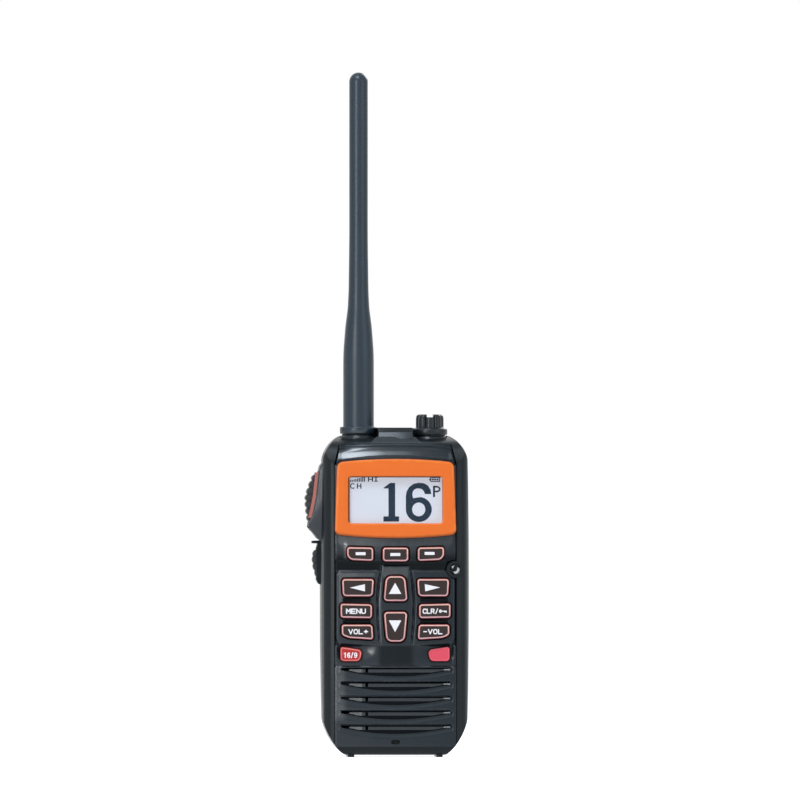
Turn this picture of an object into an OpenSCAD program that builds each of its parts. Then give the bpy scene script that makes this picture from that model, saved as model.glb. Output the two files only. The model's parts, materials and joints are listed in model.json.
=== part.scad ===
// Floating handheld marine radio: case, keypad, screw-in antenna, jack cap, battery pack and belt clip.
// Millimetres. The front faces -Y, +Z is up, and the origin is on the foot rails, in the middle of the base.

/* [Case] */
// Width of the case between its straight flanks
case_w = 60.3; // [60:0.1:61]
// How far each flank bulges at its widest
flank_bulge = 0.65; // [0.3:0.05:0.8]
// Depth of the case from front panel to back
case_d = 38; // [37.5:0.1:39]
// Height of the shoulders above the feet
shoulder_z = 133.8; // [133.5:0.1:134]
// Height of the ridge between antenna and jack
ridge_z = 137.2; // [136.8:0.1:137.4]
// Height of the foot rails
foot_h = 0.9; // [0.7:0.1:1.1]
// Wall thickness of the case
wall = 2; // [1.8:0.1:2]
// Width of the front panel between the side bands
panel_w = 51; // [50.6:0.1:51.2]

/* [Display] */
// Height of the middle of the window above the feet
window_z = 107.1; // [106.8:0.1:107.2]
// Width of the window
window_w = 39.2; // [38:0.1:39.4]
// Height of the window
window_h = 19.5; // [19:0.1:19.8]

/* [Keys] */
// How far the keys stand out of the panel
key_proud = 1.1; // [0.9:0.1:1.4]
// Travel of a key
key_travel = 0.7; // [0.5:0.1:0.7]
// Gap between a key and its hole
key_gap = 0.3; // [0.25:0.05:0.35]

/* [Antenna and jack] */
// Distance of the antenna and the jack from the middle
socket_x = 14.85; // [14.7:0.05:15]
// Height of the antenna tip above the feet
antenna_top_z = 285.3; // [270:0.1:300]
// Diameter of the antenna near its foot
antenna_foot_d = 12.8; // [12.4:0.1:13]
// Diameter of the antenna near its tip
antenna_tip_d = 7.75; // [7.4:0.05:8]
// Diameter of the antenna collar
antenna_collar_d = 15.6; // [15:0.1:15.8]
// Diameter of the jack collar
jack_collar_d = 14.7; // [14:0.1:14.9]
// Height of the top of the jack cap above the feet
cap_top_z = 142.7; // [142:0.1:144]

/* [Side switches] */
// Furthest reach of the talk button from the middle
ptt_reach = 37.5; // [37:0.1:37.8]
// Travel of the talk button
ptt_travel = 1.2; // [0.8:0.1:1.2]
// Furthest reach of the side key from the middle
side_key_reach = 34.4; // [34.2:0.1:34.8]
// Travel of the side key
side_key_travel = 0.8; // [0.5:0.1:0.8]

/* [Battery and clip] */
// Width of the battery pack
pack_w = 44.6; // [44:0.1:44.8]
// Height of the top of the battery pack above the feet
pack_top_z = 96; // [95.6:0.1:96.1]
// Gap between the belt clip and the pack
belt_gap = 5.6; // [5.2:0.1:6]
// Width of the belt clip
clip_w = 20; // [18:0.5:22]

/* [Hidden] */

$fn = 48;
eps = 0.02;
big = 400;
rest_gap = 0.05;            // air left between pieces that meet without touching
corner_steps = 8;

// Case planes
front_y = -case_d / 2;
back_y = case_d / 2;
inner_front_y = front_y + wall;
seam_y = -13;               // how far back the front case reaches
half_w = case_w / 2;
flank_mid_z = 72;           // the flank is widest here
flank_span = 52;            // the bulge is spent this far above and below
foot_x = 18.4;
foot_w = 2.6;
foot_bar_d = 5;
base_z = foot_h;
side_band_z = 4.25;         // the front panel ends here, above the wrapped bottom band
foot_corner = [9.5, 15];    // width and height of the curve between base and flank
shoulder_corner = [8, 10];
front_edge = [7, 8];        // width and depth of the curve between panel and flank
back_edge = [9, 9];
front_foot_r = 4.5;         // the panel's foot turns under with this radius

// Battery bay
bay_gap = 0.3;
bay_y = 5;
bay_low_z = 4.5;
pack_low_z = bay_low_z + bay_gap;
bay_w = pack_w + 2 * bay_gap;
bay_top_z = pack_top_z + bay_gap;
pack_y = bay_y + 0.2;

gasket_t = 1;
gasket_top_z = 121.4;
ledge_t = 1.6;
ledge_w = 1.5;
ledge_head_w = 1.4;

// Screw posts between the two cases: x, z
screw_posts = [[18, 8.5], [19.5, 91.5]];
post_r = 2.3;
case_screw_r = 1;
screw_head_r = 1.9;
screw_head_h = 1.3;

// Keys: middle x, middle z, width and height
soft_key = [14.75, 84.6, 11.3, 6.2];
centre_soft_key = [0, 84.4, 11, 6.1];
arrow_key = [15.65, 70.6, 13.7, 7.6];
menu_row_key = [16.35, 60.9, 13.5, 6.5];
volume_key = [15.82, 51.95, 13.55, 6.9];
corner_key = [18.3, 42.7, 9.6, 6.3];
up_arrow_key = [0, 70.2, 10.5, 10.8];
down_arrow_key = [0, 54.3, 10.3, 12.8];
key_flange = 0.6;           // the lip behind the panel that holds a key in
key_flange_h = 0.5;
mat_y = inner_front_y + rest_gap + key_flange_h + key_travel + rest_gap;
mat_t = 0.8;
dome_t = 0.3;
board_y = mat_y + mat_t + dome_t;
board_t = 1.6;
mat_w = 47.2;
mat_low_z = 38.4;
mat_top_z = 88.9;
board_low_z = 40.5;
board_top_z = 119.6;
board_w = 46;

// Display
bezel_w = [50.8, 49];       // width at its foot and at its head
bezel_z = [92.9, 123];      // its corners
bezel_bow = [1.9, 1.2];     // how far its middle bows past the corners
bezel_proud = 0.7;
window_y = front_y - 0.3;
window_t = 1.2;
window_lap = 1.4;           // the window reaches this far under the bezel
lcd_t = 1.4;

// Sockets on the top
socket_y = 2;
collar_low_z = [132.4, 131.7];  // antenna, jack
collar_top_z = [134.6, 134.1];
skirt_gap = 0.4;
antenna_skirt_top_z = 137.8;
cap_skirt_top_z = 136.9;
barrel_r = 5.4;
antenna_stud_r = 3;
jack_stud_r = 3.55;
stud_low_z = 127;
ring_r = [5, 4.8];          // middle radius of each O-ring
ring_wire_r = 0.45;
ridge_w = 14;
ridge_foot_w = 18.8;
ridge_wall_w = 26;           // the low wall behind the sockets
ridge_wall_y = 10.4;
socket_boss_r = 8.6;
socket_boss_z = 127;

// Talk button and side key
ptt_z = [94.5, 118.6];
ptt_half_d = 9;
side_key_z = [74.2, 86.9];
side_key_crest_z = 83;
side_key_reach_z = [7.6, 4];  // below and above the crest
side_key_fall = 1.4;
side_key_half_d = 5.5;
flank_hole_gap = 0.35;
flank_lip_x = -half_w + wall;   // inner face of the flank at the switches
switch_wall_x = -22.95;         // the chassis holds both switches here

// Belt clip
clip_y = back_y + belt_gap;
clip_t = 2.2;
pivot_z = 76;
pivot_y = back_y + 5;
pin_r = 1.2;
clip_low_z = 14;
clip_top_z = 87;

// Strap eye on the back
strap_x = 18;
strap_z = 121;
strap_w = 4;
strap_hole_r = 1.75;
strap_lug_r = 3.4;

strobe_at = [24.85, 78.2];
strobe_ring_r = 3.5;
strobe_lens_r = 2.2;
mic_z = 6.3;
mic_slot = [3.2, 1.4];
mic_seal_r = 2.2;
panel_lean_z = 122;
panel_lean_w = 2.9;          // how far each side has leaned in at panel_head_z
panel_head_z = 134;
membrane_z = [9, 37.8];      // foot and head of the dust membrane behind the speaker slots
membrane_lap = 0.4;          // it reaches this far past the ends of the slots
mic_r = 1.6;
panel_curve_z = base_z + front_foot_r;  // above this the panel is flat inside
speaker_z = 24;
speaker_r = 14.2;
speaker_y = inner_front_y + 0.3;
slot_tops = [for (row = [0:4]) 37.2 - row * 5.97];
slot_half_w = 22.8;
slot_end_h = 1;
slot_bow = 2.6;

// ---- Shapes that repeat ----

function unit(v) = v / norm(v);

function turned(v, angle) = [v[0] * cos(angle) - v[1] * sin(angle), v[0] * sin(angle) + v[1] * cos(angle)];

// The round stretch at corner b, between a and c, with radius r, in n steps
function fillet(a, b, c, r, n) =
  let (
    u = unit(a - b),
    v = unit(c - b),
    half = acos(u * v) / 2,
    centre = b + unit(u + v) * r / sin(half),
    start = b + u * r / tan(half) - centre,
    sweep = sign(cross(u, v)) * (2 * half - 180)
  )
  [for (i = [0:n]) centre + turned(start, sweep * i / n)];

// A polygon with its corners rounded: each corner is [x, z, radius]
function rounded(corners, n = 4) =
  let (count = len(corners), at = [for (c = corners) [c[0], c[1]]])
  [for (i = [0:count - 1])
    each fillet(at[(i + count - 1) % count], at[i], at[(i + 1) % count], corners[i][2], n)];

// A quarter of a superellipse: a wide, b high, power p, in n steps, from its side to its top
function quarter(a, b, p, n) =
  [for (i = [0:n]) let (t = 90 * i / n) [a * pow(cos(t), 2 / p), b * pow(sin(t), 2 / p)]];

function mirrored(points) =
  concat(points, [for (i = [len(points) - 1:-1:0]) [-points[i][0], points[i][1]]]);

// Drawn in X and Z, and run along Y
module from_front(y0, y1) {
  translate([0, y1, 0])
    rotate([90, 0, 0])
      linear_extrude(y1 - y0)
        children();
}

// Drawn in Y and Z, and run along X
module from_side(x0, x1) {
  translate([x0, 0, 0])
    rotate([90, 0, 90])
      linear_extrude(x1 - x0)
        children();
}

module rod_y(x, z, r, y0, y1) {
  translate([x, y1, z])
    rotate([90, 0, 0])
      cylinder(r = r, h = y1 - y0);
}

module rod_x(y, z, r, x0, x1) {
  translate([x0, y, z])
    rotate([0, 90, 0])
      cylinder(r = r, h = x1 - x0);
}

module rod_z(x, y, r, z0, z1) {
  translate([x, y, z0])
    cylinder(r = r, h = z1 - z0);
}

module block(low, high) {
  translate(low)
    cube(high - low);
}

module both_sides() {
  for (side = [0, 1])
    mirror([side, 0, 0])
      children();
}

// ---- Outer form of the case ----

function flank_x(z) = half_w + flank_bulge * max(0, 1 - pow((z - flank_mid_z) / flank_span, 2));

// A corner curve at its place: the corner of the box is at the given point, and side is 1 at the top or back
function corner_curve(size, power, at, side) =
  let (points = quarter(size[0], size[1], power, corner_steps))
  [for (i = [0:corner_steps])
    let (p = points[side > 0 ? i : corner_steps - i])
    [at[0] - size[0] + p[0], at[1] - side * (size[1] - p[1])]];

// Half of the front outline, from the middle of the base to the middle of the top
half_outline = concat(
  corner_curve(foot_corner, 1.4, [half_w, base_z], -1),
  [for (z = [30:14:114]) [flank_x(z), z]],
  corner_curve(shoulder_corner, 1.5, [half_w, shoulder_z], 1)
);

// Section across the case: shallow curves from the panel to the flanks
section_w = half_w + flank_bulge;
half_section = concat(
  corner_curve(front_edge, 2.2, [section_w, front_y], -1),
  corner_curve(back_edge, 2.2, [section_w, back_y], 1)
);

// Side profile: the panel leans back above the bezel, and the back is round at the top
profile = rounded([
  [front_y, base_z, front_foot_r],
  [back_y, base_z, 3],
  [back_y, shoulder_z - 1, 6],
  [4, shoulder_z + 0.4, 20],
  [-6, shoulder_z - 1.4, 14],
  [-14.5, shoulder_z - 2.8, 9],
  [front_y, 122, 9]
]);

module envelope(inset = 0) {
  intersection() {
    from_front(-big, big)
      offset(delta = -inset)
        polygon(mirrored(half_outline));
    linear_extrude(big)
      offset(delta = -inset)
        polygon(mirrored(half_section));
    from_side(-big, big)
      offset(delta = -inset)
        polygon(profile);
  }
}

// The air inside: the inner form, less the battery bay and its walls
module cavity() {
  difference() {
    envelope(wall);
    block([-bay_w / 2 - wall, bay_y - wall, -1], [bay_w / 2 + wall, big, bay_top_z + wall]);
  }
}

// The front panel's part of the case: its sides lean in above panel_lean_z
module panel_zone(gap) {
  half = panel_w / 2 - gap;
  from_front(-big, seam_y - gap)
    polygon([
      [-half, side_band_z + gap], [half, side_band_z + gap], [half, panel_lean_z],
      [half - panel_lean_w, panel_head_z], [-half + panel_lean_w, panel_head_z], [-half, panel_lean_z]
    ]);
}

module collar_clearance(gap) {
  rod_z(-socket_x, socket_y, antenna_collar_d / 2 + gap, collar_low_z[0], big);
  rod_z(socket_x, socket_y, jack_collar_d / 2 + gap, collar_low_z[1], big);
}

// Ridge between the two sockets, with a slope at its front
// Its ramp is wider than its top, so that it runs out in front of the two collars
module ridge() {
  difference() {
    union() {
      intersection() {
        from_side(-ridge_foot_w / 2, ridge_foot_w / 2)
          polygon(rounded([
            [-12.9, shoulder_z - 3, 0.5],
            [-12.4, shoulder_z - 1.9, 0.5],
            [-10.3, shoulder_z - 0.4, 0.8],
            [-7.7, ridge_z - 1.9, 0.4],
            [-7.2, ridge_z, 0.6],
            [10, ridge_z, 2],
            [14, shoulder_z - 3, 2]
          ]));
        from_front(-big, big)
          polygon([
            [-ridge_foot_w / 2, -big], [ridge_foot_w / 2, -big], [ridge_foot_w / 2, shoulder_z - 1.5],
            [ridge_w / 2, shoulder_z - 0.1], [ridge_w / 2, big], [-ridge_w / 2, big],
            [-ridge_w / 2, shoulder_z - 0.1], [-ridge_foot_w / 2, shoulder_z - 1.5]
          ]);
      }
      // low wall behind the two sockets
      from_side(-ridge_wall_w / 2, ridge_wall_w / 2)
        polygon(rounded([
          [ridge_wall_y, shoulder_z - 3, 0.5],
          [ridge_wall_y, ridge_z - 0.2, 0.6],
          [ridge_wall_y + 2.4, ridge_z - 0.2, 1],
          [ridge_wall_y + 4.4, shoulder_z - 3, 0.5]
        ]));
    }
    collar_clearance(bay_gap);
  }
}

// ---- Front panel ----

module slot(top_z) {
  steps = 12;
  polygon(concat(
    [[-slot_half_w, top_z], [slot_half_w, top_z]],
    [for (i = [steps:-1:0])
      let (t = 2 * i / steps - 1)
      [t * slot_half_w, top_z - slot_end_h - slot_bow * (1 - t * t)]]
  ));
}

module key_shape(name) {
  k = key_size(name);
  x = k[2] / 2;
  z = k[3] / 2;
  if (name == "soft")
    polygon(rounded([[-x, -z + 0.5, 3], [x, -z, 1], [x, z - 0.2, 1], [-x, z, 1]]));
  else if (name == "volume")
    polygon(rounded([[-x, -z + 1.6, 2], [-x + 3, -z + 0.4, 6], [x, -z, 1], [x, z, 1], [-x, z, 1]]));
  else if (name == "up")
    polygon(rounded([[-x, -z, 1.2], [x, -z, 1.2], [x - 0.6, z, 2.4], [-x + 0.6, z, 2.4]]));
  else if (name == "down")
    polygon(rounded([[-x + 0.6, -z, 2.4], [x - 0.6, -z, 2.4], [x, z, 1.2], [-x, z, 1.2]]));
  else if (name == "corner")
    polygon(rounded([[-x, -z, 1.6], [x - 1.2, -z, 2.2], [x, z - 1.4, 2], [-x, z, 1.1]]));
  else
    polygon(rounded([[-x, -z, 1.1], [x, -z, 1.1], [x, z, 1.1], [-x, z, 1.1]]));
}

function key_size(name) =
  name == "soft" ? soft_key :
  name == "centre" ? centre_soft_key :
  name == "arrow" ? arrow_key :
  name == "menu" ? menu_row_key :
  name == "volume" ? volume_key :
  name == "corner" ? corner_key :
  name == "up" ? up_arrow_key : down_arrow_key;

// A key's outline at its place: the shapes are drawn for the left and mirrored for the right (side 1)
module key_outline(name, side = 1, grow = 0) {
  k = key_size(name);
  translate([side * k[0], k[1]])
    offset(delta = grow)
      mirror([side > 0 ? 1 : 0, 0])
        key_shape(name);
}

paired_keys = ["soft", "arrow", "menu", "volume", "corner"];
middle_keys = ["centre", "up", "down"];

module all_key_holes() {
  for (name = paired_keys, side = [-1, 1])
    key_outline(name, side, key_gap);
  for (name = middle_keys)
    key_outline(name, 1, key_gap);
}

module key(name, side = 1) {
  from_front(front_y - key_proud, inner_front_y + rest_gap + eps)
    key_outline(name, side);
  from_front(inner_front_y + rest_gap, inner_front_y + rest_gap + key_flange_h)
    key_outline(name, side, key_flange);
}

function key_middles() = concat(
  [for (name = paired_keys, side = [-1, 1]) [side * key_size(name)[0], key_size(name)[1]]],
  [for (name = middle_keys) [0, key_size(name)[1]]]
);

module mic_opening() {
  from_front(-big, inner_front_y + 1)
    translate([0, mic_z])
      polygon(rounded(plate_corners(mic_slot[0] / 2, -mic_slot[1] / 2, mic_slot[1] / 2, 0.65)));
}

module front_case() {
  color("#31363f") {
    difference() {
      union() {
        intersection() {
          difference() {
            envelope();
            cavity();
          }
          panel_zone(rest_gap);
        }
        for (post = screw_posts)
          both_sides()
            rod_y(post[0], post[1], post_r, inner_front_y - eps, bay_y - wall - rest_gap);
      }
      from_front(-big, inner_front_y + eps) {
        all_key_holes();
        for (top_z = slot_tops)
          slot(top_z);
      }
      from_front(-big, inner_front_y + eps)
        bezel_outline(-bezel_lip + rest_gap);
      mic_opening();
      rod_y(strobe_at[0], strobe_at[1], strobe_ring_r + rest_gap, -big, seam_y);
      for (post = screw_posts)
        both_sides()
          rod_y(post[0], post[1], case_screw_r, inner_front_y + wall, big);
    }
  }
}

// ---- Rear case ----

module flank_housing(profile_points, half_d) {
  from_front(-half_d, half_d)
    polygon(profile_points);
}

ptt_housing_outline = [
  [-half_w + 1, 88.8], [-32.6, 91.2], [-36.2, 95.8], [-36, 97.6], [-34.7, 100], [-33.9, 103.4], [-32.9, 108.5],
  [-32.3, 114], [-31.9, 118.4], [-31.2, 121.2], [-half_w + 1, 124]
];
side_housing_outline = [
  [-half_w + 1, 71], [-31.9, 72.2], [-32.6, 73.6], [-32.6, 87.2], [-32.1, 88.9], [-half_w + 1, 89.8]
];

module ptt_opening(gap) {
  block(
    [-big, -ptt_half_d - gap, ptt_z[0] - gap],
    [-half_w + wall + 2, ptt_half_d + gap, ptt_z[1] + gap]
  );
}

module side_key_opening(gap) {
  block(
    [-big, -side_key_half_d - gap, side_key_z[0] - gap],
    [-half_w + wall + 2, side_key_half_d + gap, side_key_z[1] + gap]
  );
}

// Ledge behind the rim of the front panel, which the gasket sits on
module gasket_ledge() {
  difference() {
    intersection() {
      envelope(wall - eps);
      block(
        [-big, inner_front_y + gasket_t, side_band_z - 2],
        [big, inner_front_y + gasket_t + ledge_t, gasket_top_z]
      );
    }
    block(
      [-panel_w / 2 + ledge_w, -big, side_band_z + ledge_w],
      [panel_w / 2 - ledge_w, big, gasket_top_z - ledge_head_w]
    );
    rod_y(0, mic_z, mic_seal_r + rest_gap, -big, seam_y);
  }
}

module rear_case() {
  color("#33383a") {
    difference() {
      union() {
        difference() {
          envelope();
          cavity();
          panel_zone(0);
        }
        difference() {
          union() {
            flank_housing(ptt_housing_outline, ptt_half_d + 2.2);
            flank_housing(side_housing_outline, side_key_half_d + 2);
            from_front(-side_key_half_d, side_key_half_d)
              polygon([[-half_w, 88.8], [-34.5, 89], [-34.5, 90], [-half_w, 90.2]]);
          }
          cavity();
        }
        difference() {
          ridge();
          envelope(wall);
        }
        gasket_ledge();
        both_sides()
          rod_z(socket_x, socket_y, socket_boss_r, socket_boss_z, collar_low_z[0]);
        // foot rails and the bar that joins them
        both_sides()
          block([foot_x - foot_w / 2, front_y + 2.6, 0], [foot_x + foot_w / 2, back_y - 4, base_z + 1.6]);
        block([-foot_x, -foot_bar_d / 2, 0], [foot_x, foot_bar_d / 2, base_z + 1]);
        // strap eye
        rod_x(back_y + strap_lug_r - 0.8, strap_z, strap_lug_r, strap_x - strap_w / 2, strap_x + strap_w / 2);
        block(
          [strap_x - strap_w / 2, back_y - 1.5, strap_z - strap_lug_r],
          [strap_x + strap_w / 2, back_y + strap_lug_r - 0.8, strap_z + strap_lug_r]
        );
      }
      block([-bay_w / 2, bay_y, bay_low_z], [bay_w / 2, big, bay_top_z]);
      // keeper recess for the latch nose
      block([-5, back_y - 5, bay_top_z - 1], [5, back_y - 2.4, bay_top_z + 1.2]);
      collar_clearance(rest_gap);
      rod_z(-socket_x, socket_y, barrel_r + rest_gap, collar_low_z[0] - 12, big);
      rod_z(socket_x, socket_y, barrel_r + rest_gap, collar_low_z[1] - 12, big);
      ptt_opening(flank_hole_gap);
      side_key_opening(flank_hole_gap);
      rod_y(strobe_at[0], strobe_at[1], strobe_ring_r + rest_gap, -big, seam_y);
      for (post = screw_posts)
        both_sides() {
          rod_y(post[0], post[1], screw_head_r + rest_gap, bay_y - screw_head_h, big);
          rod_y(post[0], post[1], case_screw_r + 0.2, 0, big);
        }
      rod_x(back_y + strap_lug_r - 0.8, strap_z, strap_hole_r, 0, big);
      for (x = contact_xs)
        rod_y(x, contact_z, contact_r + rest_gap, 0, big);
    }
  }
}

contact_xs = [-5, 0, 5];
contact_z = 12;
contact_r = 0.9;

function plate_corners(half_x, z0, z1, r) =
  [[-half_x, z0, r], [half_x, z0, r], [half_x, z1, r], [-half_x, z1, r]];

gasket_w = 1.3;
gasket_edge = 0.3;          // it stops this far inside the panel's edge

// The strip runs round the edge and over the microphone seal; the strobe ring closes it at the right
module case_gasket() {
  half_x = panel_w / 2 - gasket_edge;
  foot_z = panel_curve_z + rest_gap;
  color("#1c1e20")
    intersection() {
      envelope(wall + rest_gap);
      difference() {
        from_front(inner_front_y, inner_front_y + gasket_t) {
          difference() {
            polygon(rounded(plate_corners(half_x, foot_z, gasket_top_z, 3)));
            polygon(rounded(plate_corners(half_x - gasket_w, foot_z + gasket_w, gasket_top_z - gasket_w, 2)));
          }
          intersection() {
            translate([0, mic_z])
              circle(r = mic_seal_r + gasket_w);
            translate([-mic_seal_r - gasket_w, foot_z])
              square([2 * (mic_seal_r + gasket_w), membrane_z[0] - rest_gap - foot_z]);
          }
        }
        rod_y(0, mic_z, mic_seal_r, -big, big);
        rod_y(strobe_at[0], strobe_at[1], strobe_ring_r + rest_gap, -big, big);
        post_holes(rest_gap);
      }
    }
}

module case_screws() {
  color("#8c9094")
    for (post = screw_posts)
      both_sides() {
        difference() {
          rod_y(post[0], post[1], screw_head_r, bay_y - screw_head_h + rest_gap, bay_y - rest_gap);
          rod_y(post[0], post[1], 0.8, bay_y - 0.7, bay_y);
        }
        rod_y(post[0], post[1], case_screw_r, inner_front_y + wall + 1, bay_y - screw_head_h + 2 * rest_gap);
      }
}

// ---- Display ----

bezel_lip = 1;              // width of the rebate that the bezel's rim covers

// The bezel's outer form: its head and foot bow outwards
module bezel_outline(grow = 0) {
  steps = 10;
  foot = [for (i = [0:steps])
    let (t = 2 * i / steps - 1)
    [t * (bezel_w[0] / 2 - 1.5), bezel_z[0] - bezel_bow[0] * (1 - t * t)]];
  head = [for (i = [steps:-1:0])
    let (t = 2 * i / steps - 1)
    [t * (bezel_w[1] / 2 - 1.5), bezel_z[1] + bezel_bow[1] * (1 - t * t)]];
  right = [[bezel_w[0] / 2, bezel_z[0] + 1.6], [bezel_w[1] / 2, bezel_z[1] - 1.6]];
  left = [[-bezel_w[1] / 2, bezel_z[1] - 1.6], [-bezel_w[0] / 2, bezel_z[0] + 1.6]];
  offset(delta = grow)
    polygon(concat(foot, right, head, left));
}

module window_outline(grow = 0) {
  translate([0, window_z])
    polygon(rounded(plate_corners(window_w / 2 + grow, -window_h / 2 - grow, window_h / 2 + grow, 1.2 + grow)));
}

module display_bezel() {
  color("#f0782d")
    difference() {
      union() {
        from_front(front_y - bezel_proud, front_y)
          bezel_outline();
        from_front(front_y - eps, inner_front_y)
          bezel_outline(-bezel_lip);
      }
      from_front(-big, window_y)
        window_outline();
      from_front(window_y - eps, big)
        window_outline(window_lap + rest_gap);
    }
}

module display_window() {
  color("#dfe6ef", 0.35)
    from_front(window_y, window_y + window_t)
      window_outline(window_lap);
}

module lcd_panel() {
  color("#d7deeb")
    from_front(inner_front_y - 0.5, inner_front_y - 0.5 + lcd_t)
      window_outline(window_lap - 0.2);
}

module lcd_backlight() {
  color("#f4f4f0")
    from_front(inner_front_y - 0.5 + lcd_t, board_y)
      window_outline(window_lap - 0.4);
}

// ---- Keys ----

module soft_key_left() {
  color("#3a3432")
    key("soft", -1);
}

module soft_key_centre() {
  color("#3a3432")
    key("centre");
}

module soft_key_right() {
  color("#3a3432")
    key("soft", 1);
}

module left_key() {
  color("#3a3432")
    key("arrow", -1);
}

module right_key() {
  color("#3a3432")
    key("arrow", 1);
}

module up_key() {
  color("#3a3432")
    key("up");
}

module down_key() {
  color("#3a3432")
    key("down");
}

module menu_key() {
  color("#3a3432")
    key("menu", -1);
}

module clear_key() {
  color("#3a3432")
    key("menu", 1);
}

module volume_up_key() {
  color("#3a3432")
    key("volume", -1);
}

module volume_down_key() {
  color("#3a3432")
    key("volume", 1);
}

module channel_16_key() {
  color("#b02020")
    key("corner", -1);
}

module power_key() {
  color("#e65569")
    key("corner", 1);
}

dome_r = 2.2;

module keypad_mat() {
  color("#55504c")
    difference() {
      from_front(mat_y, mat_y + mat_t)
        polygon(rounded(plate_corners(mat_w / 2, mat_low_z, mat_top_z, 2)));
      for (at = key_middles())
        rod_y(at[0], at[1], dome_r + 0.3, mat_y + 0.3, big);
      rod_y(strobe_at[0], strobe_at[1], strobe_ring_r, -big, big);
    }
}

module dome_sheet() {
  color("#b9bcc0") {
    difference() {
      from_front(mat_y + mat_t, board_y)
        polygon(rounded(plate_corners(mat_w / 2 - 1, board_low_z, mat_top_z, 1)));
      rod_y(strobe_at[0], strobe_at[1], strobe_ring_r + 0.3, -big, big);
    }
    for (at = key_middles())
      rod_y(at[0], at[1], dome_r, mat_y + 0.4, mat_y + mat_t + eps);
  }
}

// ---- Electronics ----

module post_holes(gap) {
  for (post = screw_posts)
    both_sides()
      rod_y(post[0], post[1], post_r + gap, -big, big);
}

module main_board() {
  color("#2f6b45")
    difference() {
      from_front(board_y, board_y + board_t)
        polygon(rounded(plate_corners(board_w / 2, board_low_z, board_top_z, 2)));
      post_holes(0.3);
    }
}

can_size = [36, 28];
can_z = 58;
can_h = 2.2;
can_wall = 0.4;

module shield_can() {
  color("#c9ccd0")
    difference() {
      block(
        [-can_size[0] / 2, board_y + board_t, can_z],
        [can_size[0] / 2, board_y + board_t + can_h, can_z + can_size[1]]
      );
      block(
        [-can_size[0] / 2 + can_wall, board_y, can_z + can_wall],
        [can_size[0] / 2 - can_wall, board_y + board_t + can_h - can_wall, can_z + can_size[1] - can_wall]
      );
    }
}

spreader_y = board_y + board_t + can_h;
spreader_t = 1.5;
spreader_z = [46, 119];
fin_xs = [-12, -4, 4, 12];
fin_t = 1.2;
fin_h = 4;
fin_z = [50, 86];
carrier_z = [74, 110];      // upright wall that carries the two side switches
carrier_back_y = 2.4;

module heat_spreader() {
  color("#9a9ea3")
    difference() {
      union() {
        from_front(spreader_y, spreader_y + spreader_t)
          polygon(rounded(plate_corners(board_w / 2 - 0.5, spreader_z[0], spreader_z[1], 2)));
        for (x = fin_xs)
          block(
            [x - fin_t / 2, spreader_y, fin_z[0]],
            [x + fin_t / 2, spreader_y + spreader_t + fin_h, fin_z[1]]
          );
        block([switch_wall_x, spreader_y, carrier_z[0]], [switch_wall_x + fin_t, carrier_back_y, carrier_z[1]]);
      }
      post_holes(0.3);
    }
}

// ---- Speaker and microphone ----

module turned_on_y(y, z) {
  translate([0, y, z])
    rotate([-90, 0, 0])
      rotate_extrude()
        children();
}

module speaker_membrane() {
  color("#15181a")
    difference() {
      from_front(inner_front_y, speaker_y)
        polygon(rounded(plate_corners(slot_half_w + membrane_lap, membrane_z[0], membrane_z[1], 2)));
      post_holes(0.1);
    }
}

speaker_d = 7.5;
magnet_r = 7.5;
magnet_h = 3;

module speaker_frame() {
  color("#3c4146")
    turned_on_y(speaker_y, speaker_z)
      polygon([
        [speaker_r - 1.6, 0], [speaker_r, 0], [speaker_r, 1.4], [magnet_r + 1, speaker_d - magnet_h],
        [magnet_r - 3.5, speaker_d - magnet_h], [magnet_r - 3.5, speaker_d - magnet_h - 0.6],
        [magnet_r + 0.6, speaker_d - magnet_h - 0.6], [speaker_r - 1.6, 1]
      ]);
}

module speaker_cone() {
  color("#24262a")
    turned_on_y(speaker_y, speaker_z)
      polygon([
        [0, 1.6], [2.6, 1.9], [4.2, 2.6], [speaker_r - 1.7, 0.3],
        [speaker_r - 1.7, 0.7], [4.2, 3], [2.6, 2.3], [0, 2]
      ]);
}

module speaker_magnet() {
  color("#8a8d90")
    rod_y(0, speaker_z, magnet_r, speaker_y + speaker_d - magnet_h, speaker_y + speaker_d);
}

mic_t = 1.4;
mic_gap = 0.4;              // how far the microphone sits behind the panel

module microphone() {
  color("#a5a8ab")
    rod_y(0, mic_z, mic_r, inner_front_y + mic_gap, inner_front_y + mic_gap + mic_t);
}

// A cup with a flat foot, where the panel starts to turn under
module mic_seal() {
  color("#222426")
    difference() {
      rod_y(0, mic_z, mic_seal_r, inner_front_y, inner_front_y + mic_gap + mic_t + 0.4);
      rod_y(0, mic_z, mic_r, inner_front_y + mic_gap, seam_y);
      mic_opening();
      block([-big, -big, -big], [big, big, panel_curve_z + rest_gap]);
    }
}

// ---- Strobe light ----

strobe_front_y = front_y - 0.2;

module strobe_ring() {
  color("#1b1d20")
    difference() {
      rod_y(strobe_at[0], strobe_at[1], strobe_ring_r, strobe_front_y, inner_front_y);
      rod_y(strobe_at[0], strobe_at[1], strobe_ring_r - 0.5, inner_front_y - eps, seam_y - 2);
      rod_y(strobe_at[0], strobe_at[1], strobe_lens_r + rest_gap, -big, big);
    }
}

module strobe_lens() {
  color("#e8edf2", 0.5)
    translate([strobe_at[0], strobe_front_y - 1.1, strobe_at[1]])
      rotate([-90, 0, 0])
        rotate_extrude()
          polygon(concat(
            [[0, 3.6], [strobe_lens_r, 3.6]],
            [for (i = [0:8]) [strobe_lens_r * cos(90 * i / 8), 1.1 - 1.1 * sin(90 * i / 8)]]
          ));
}

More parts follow.
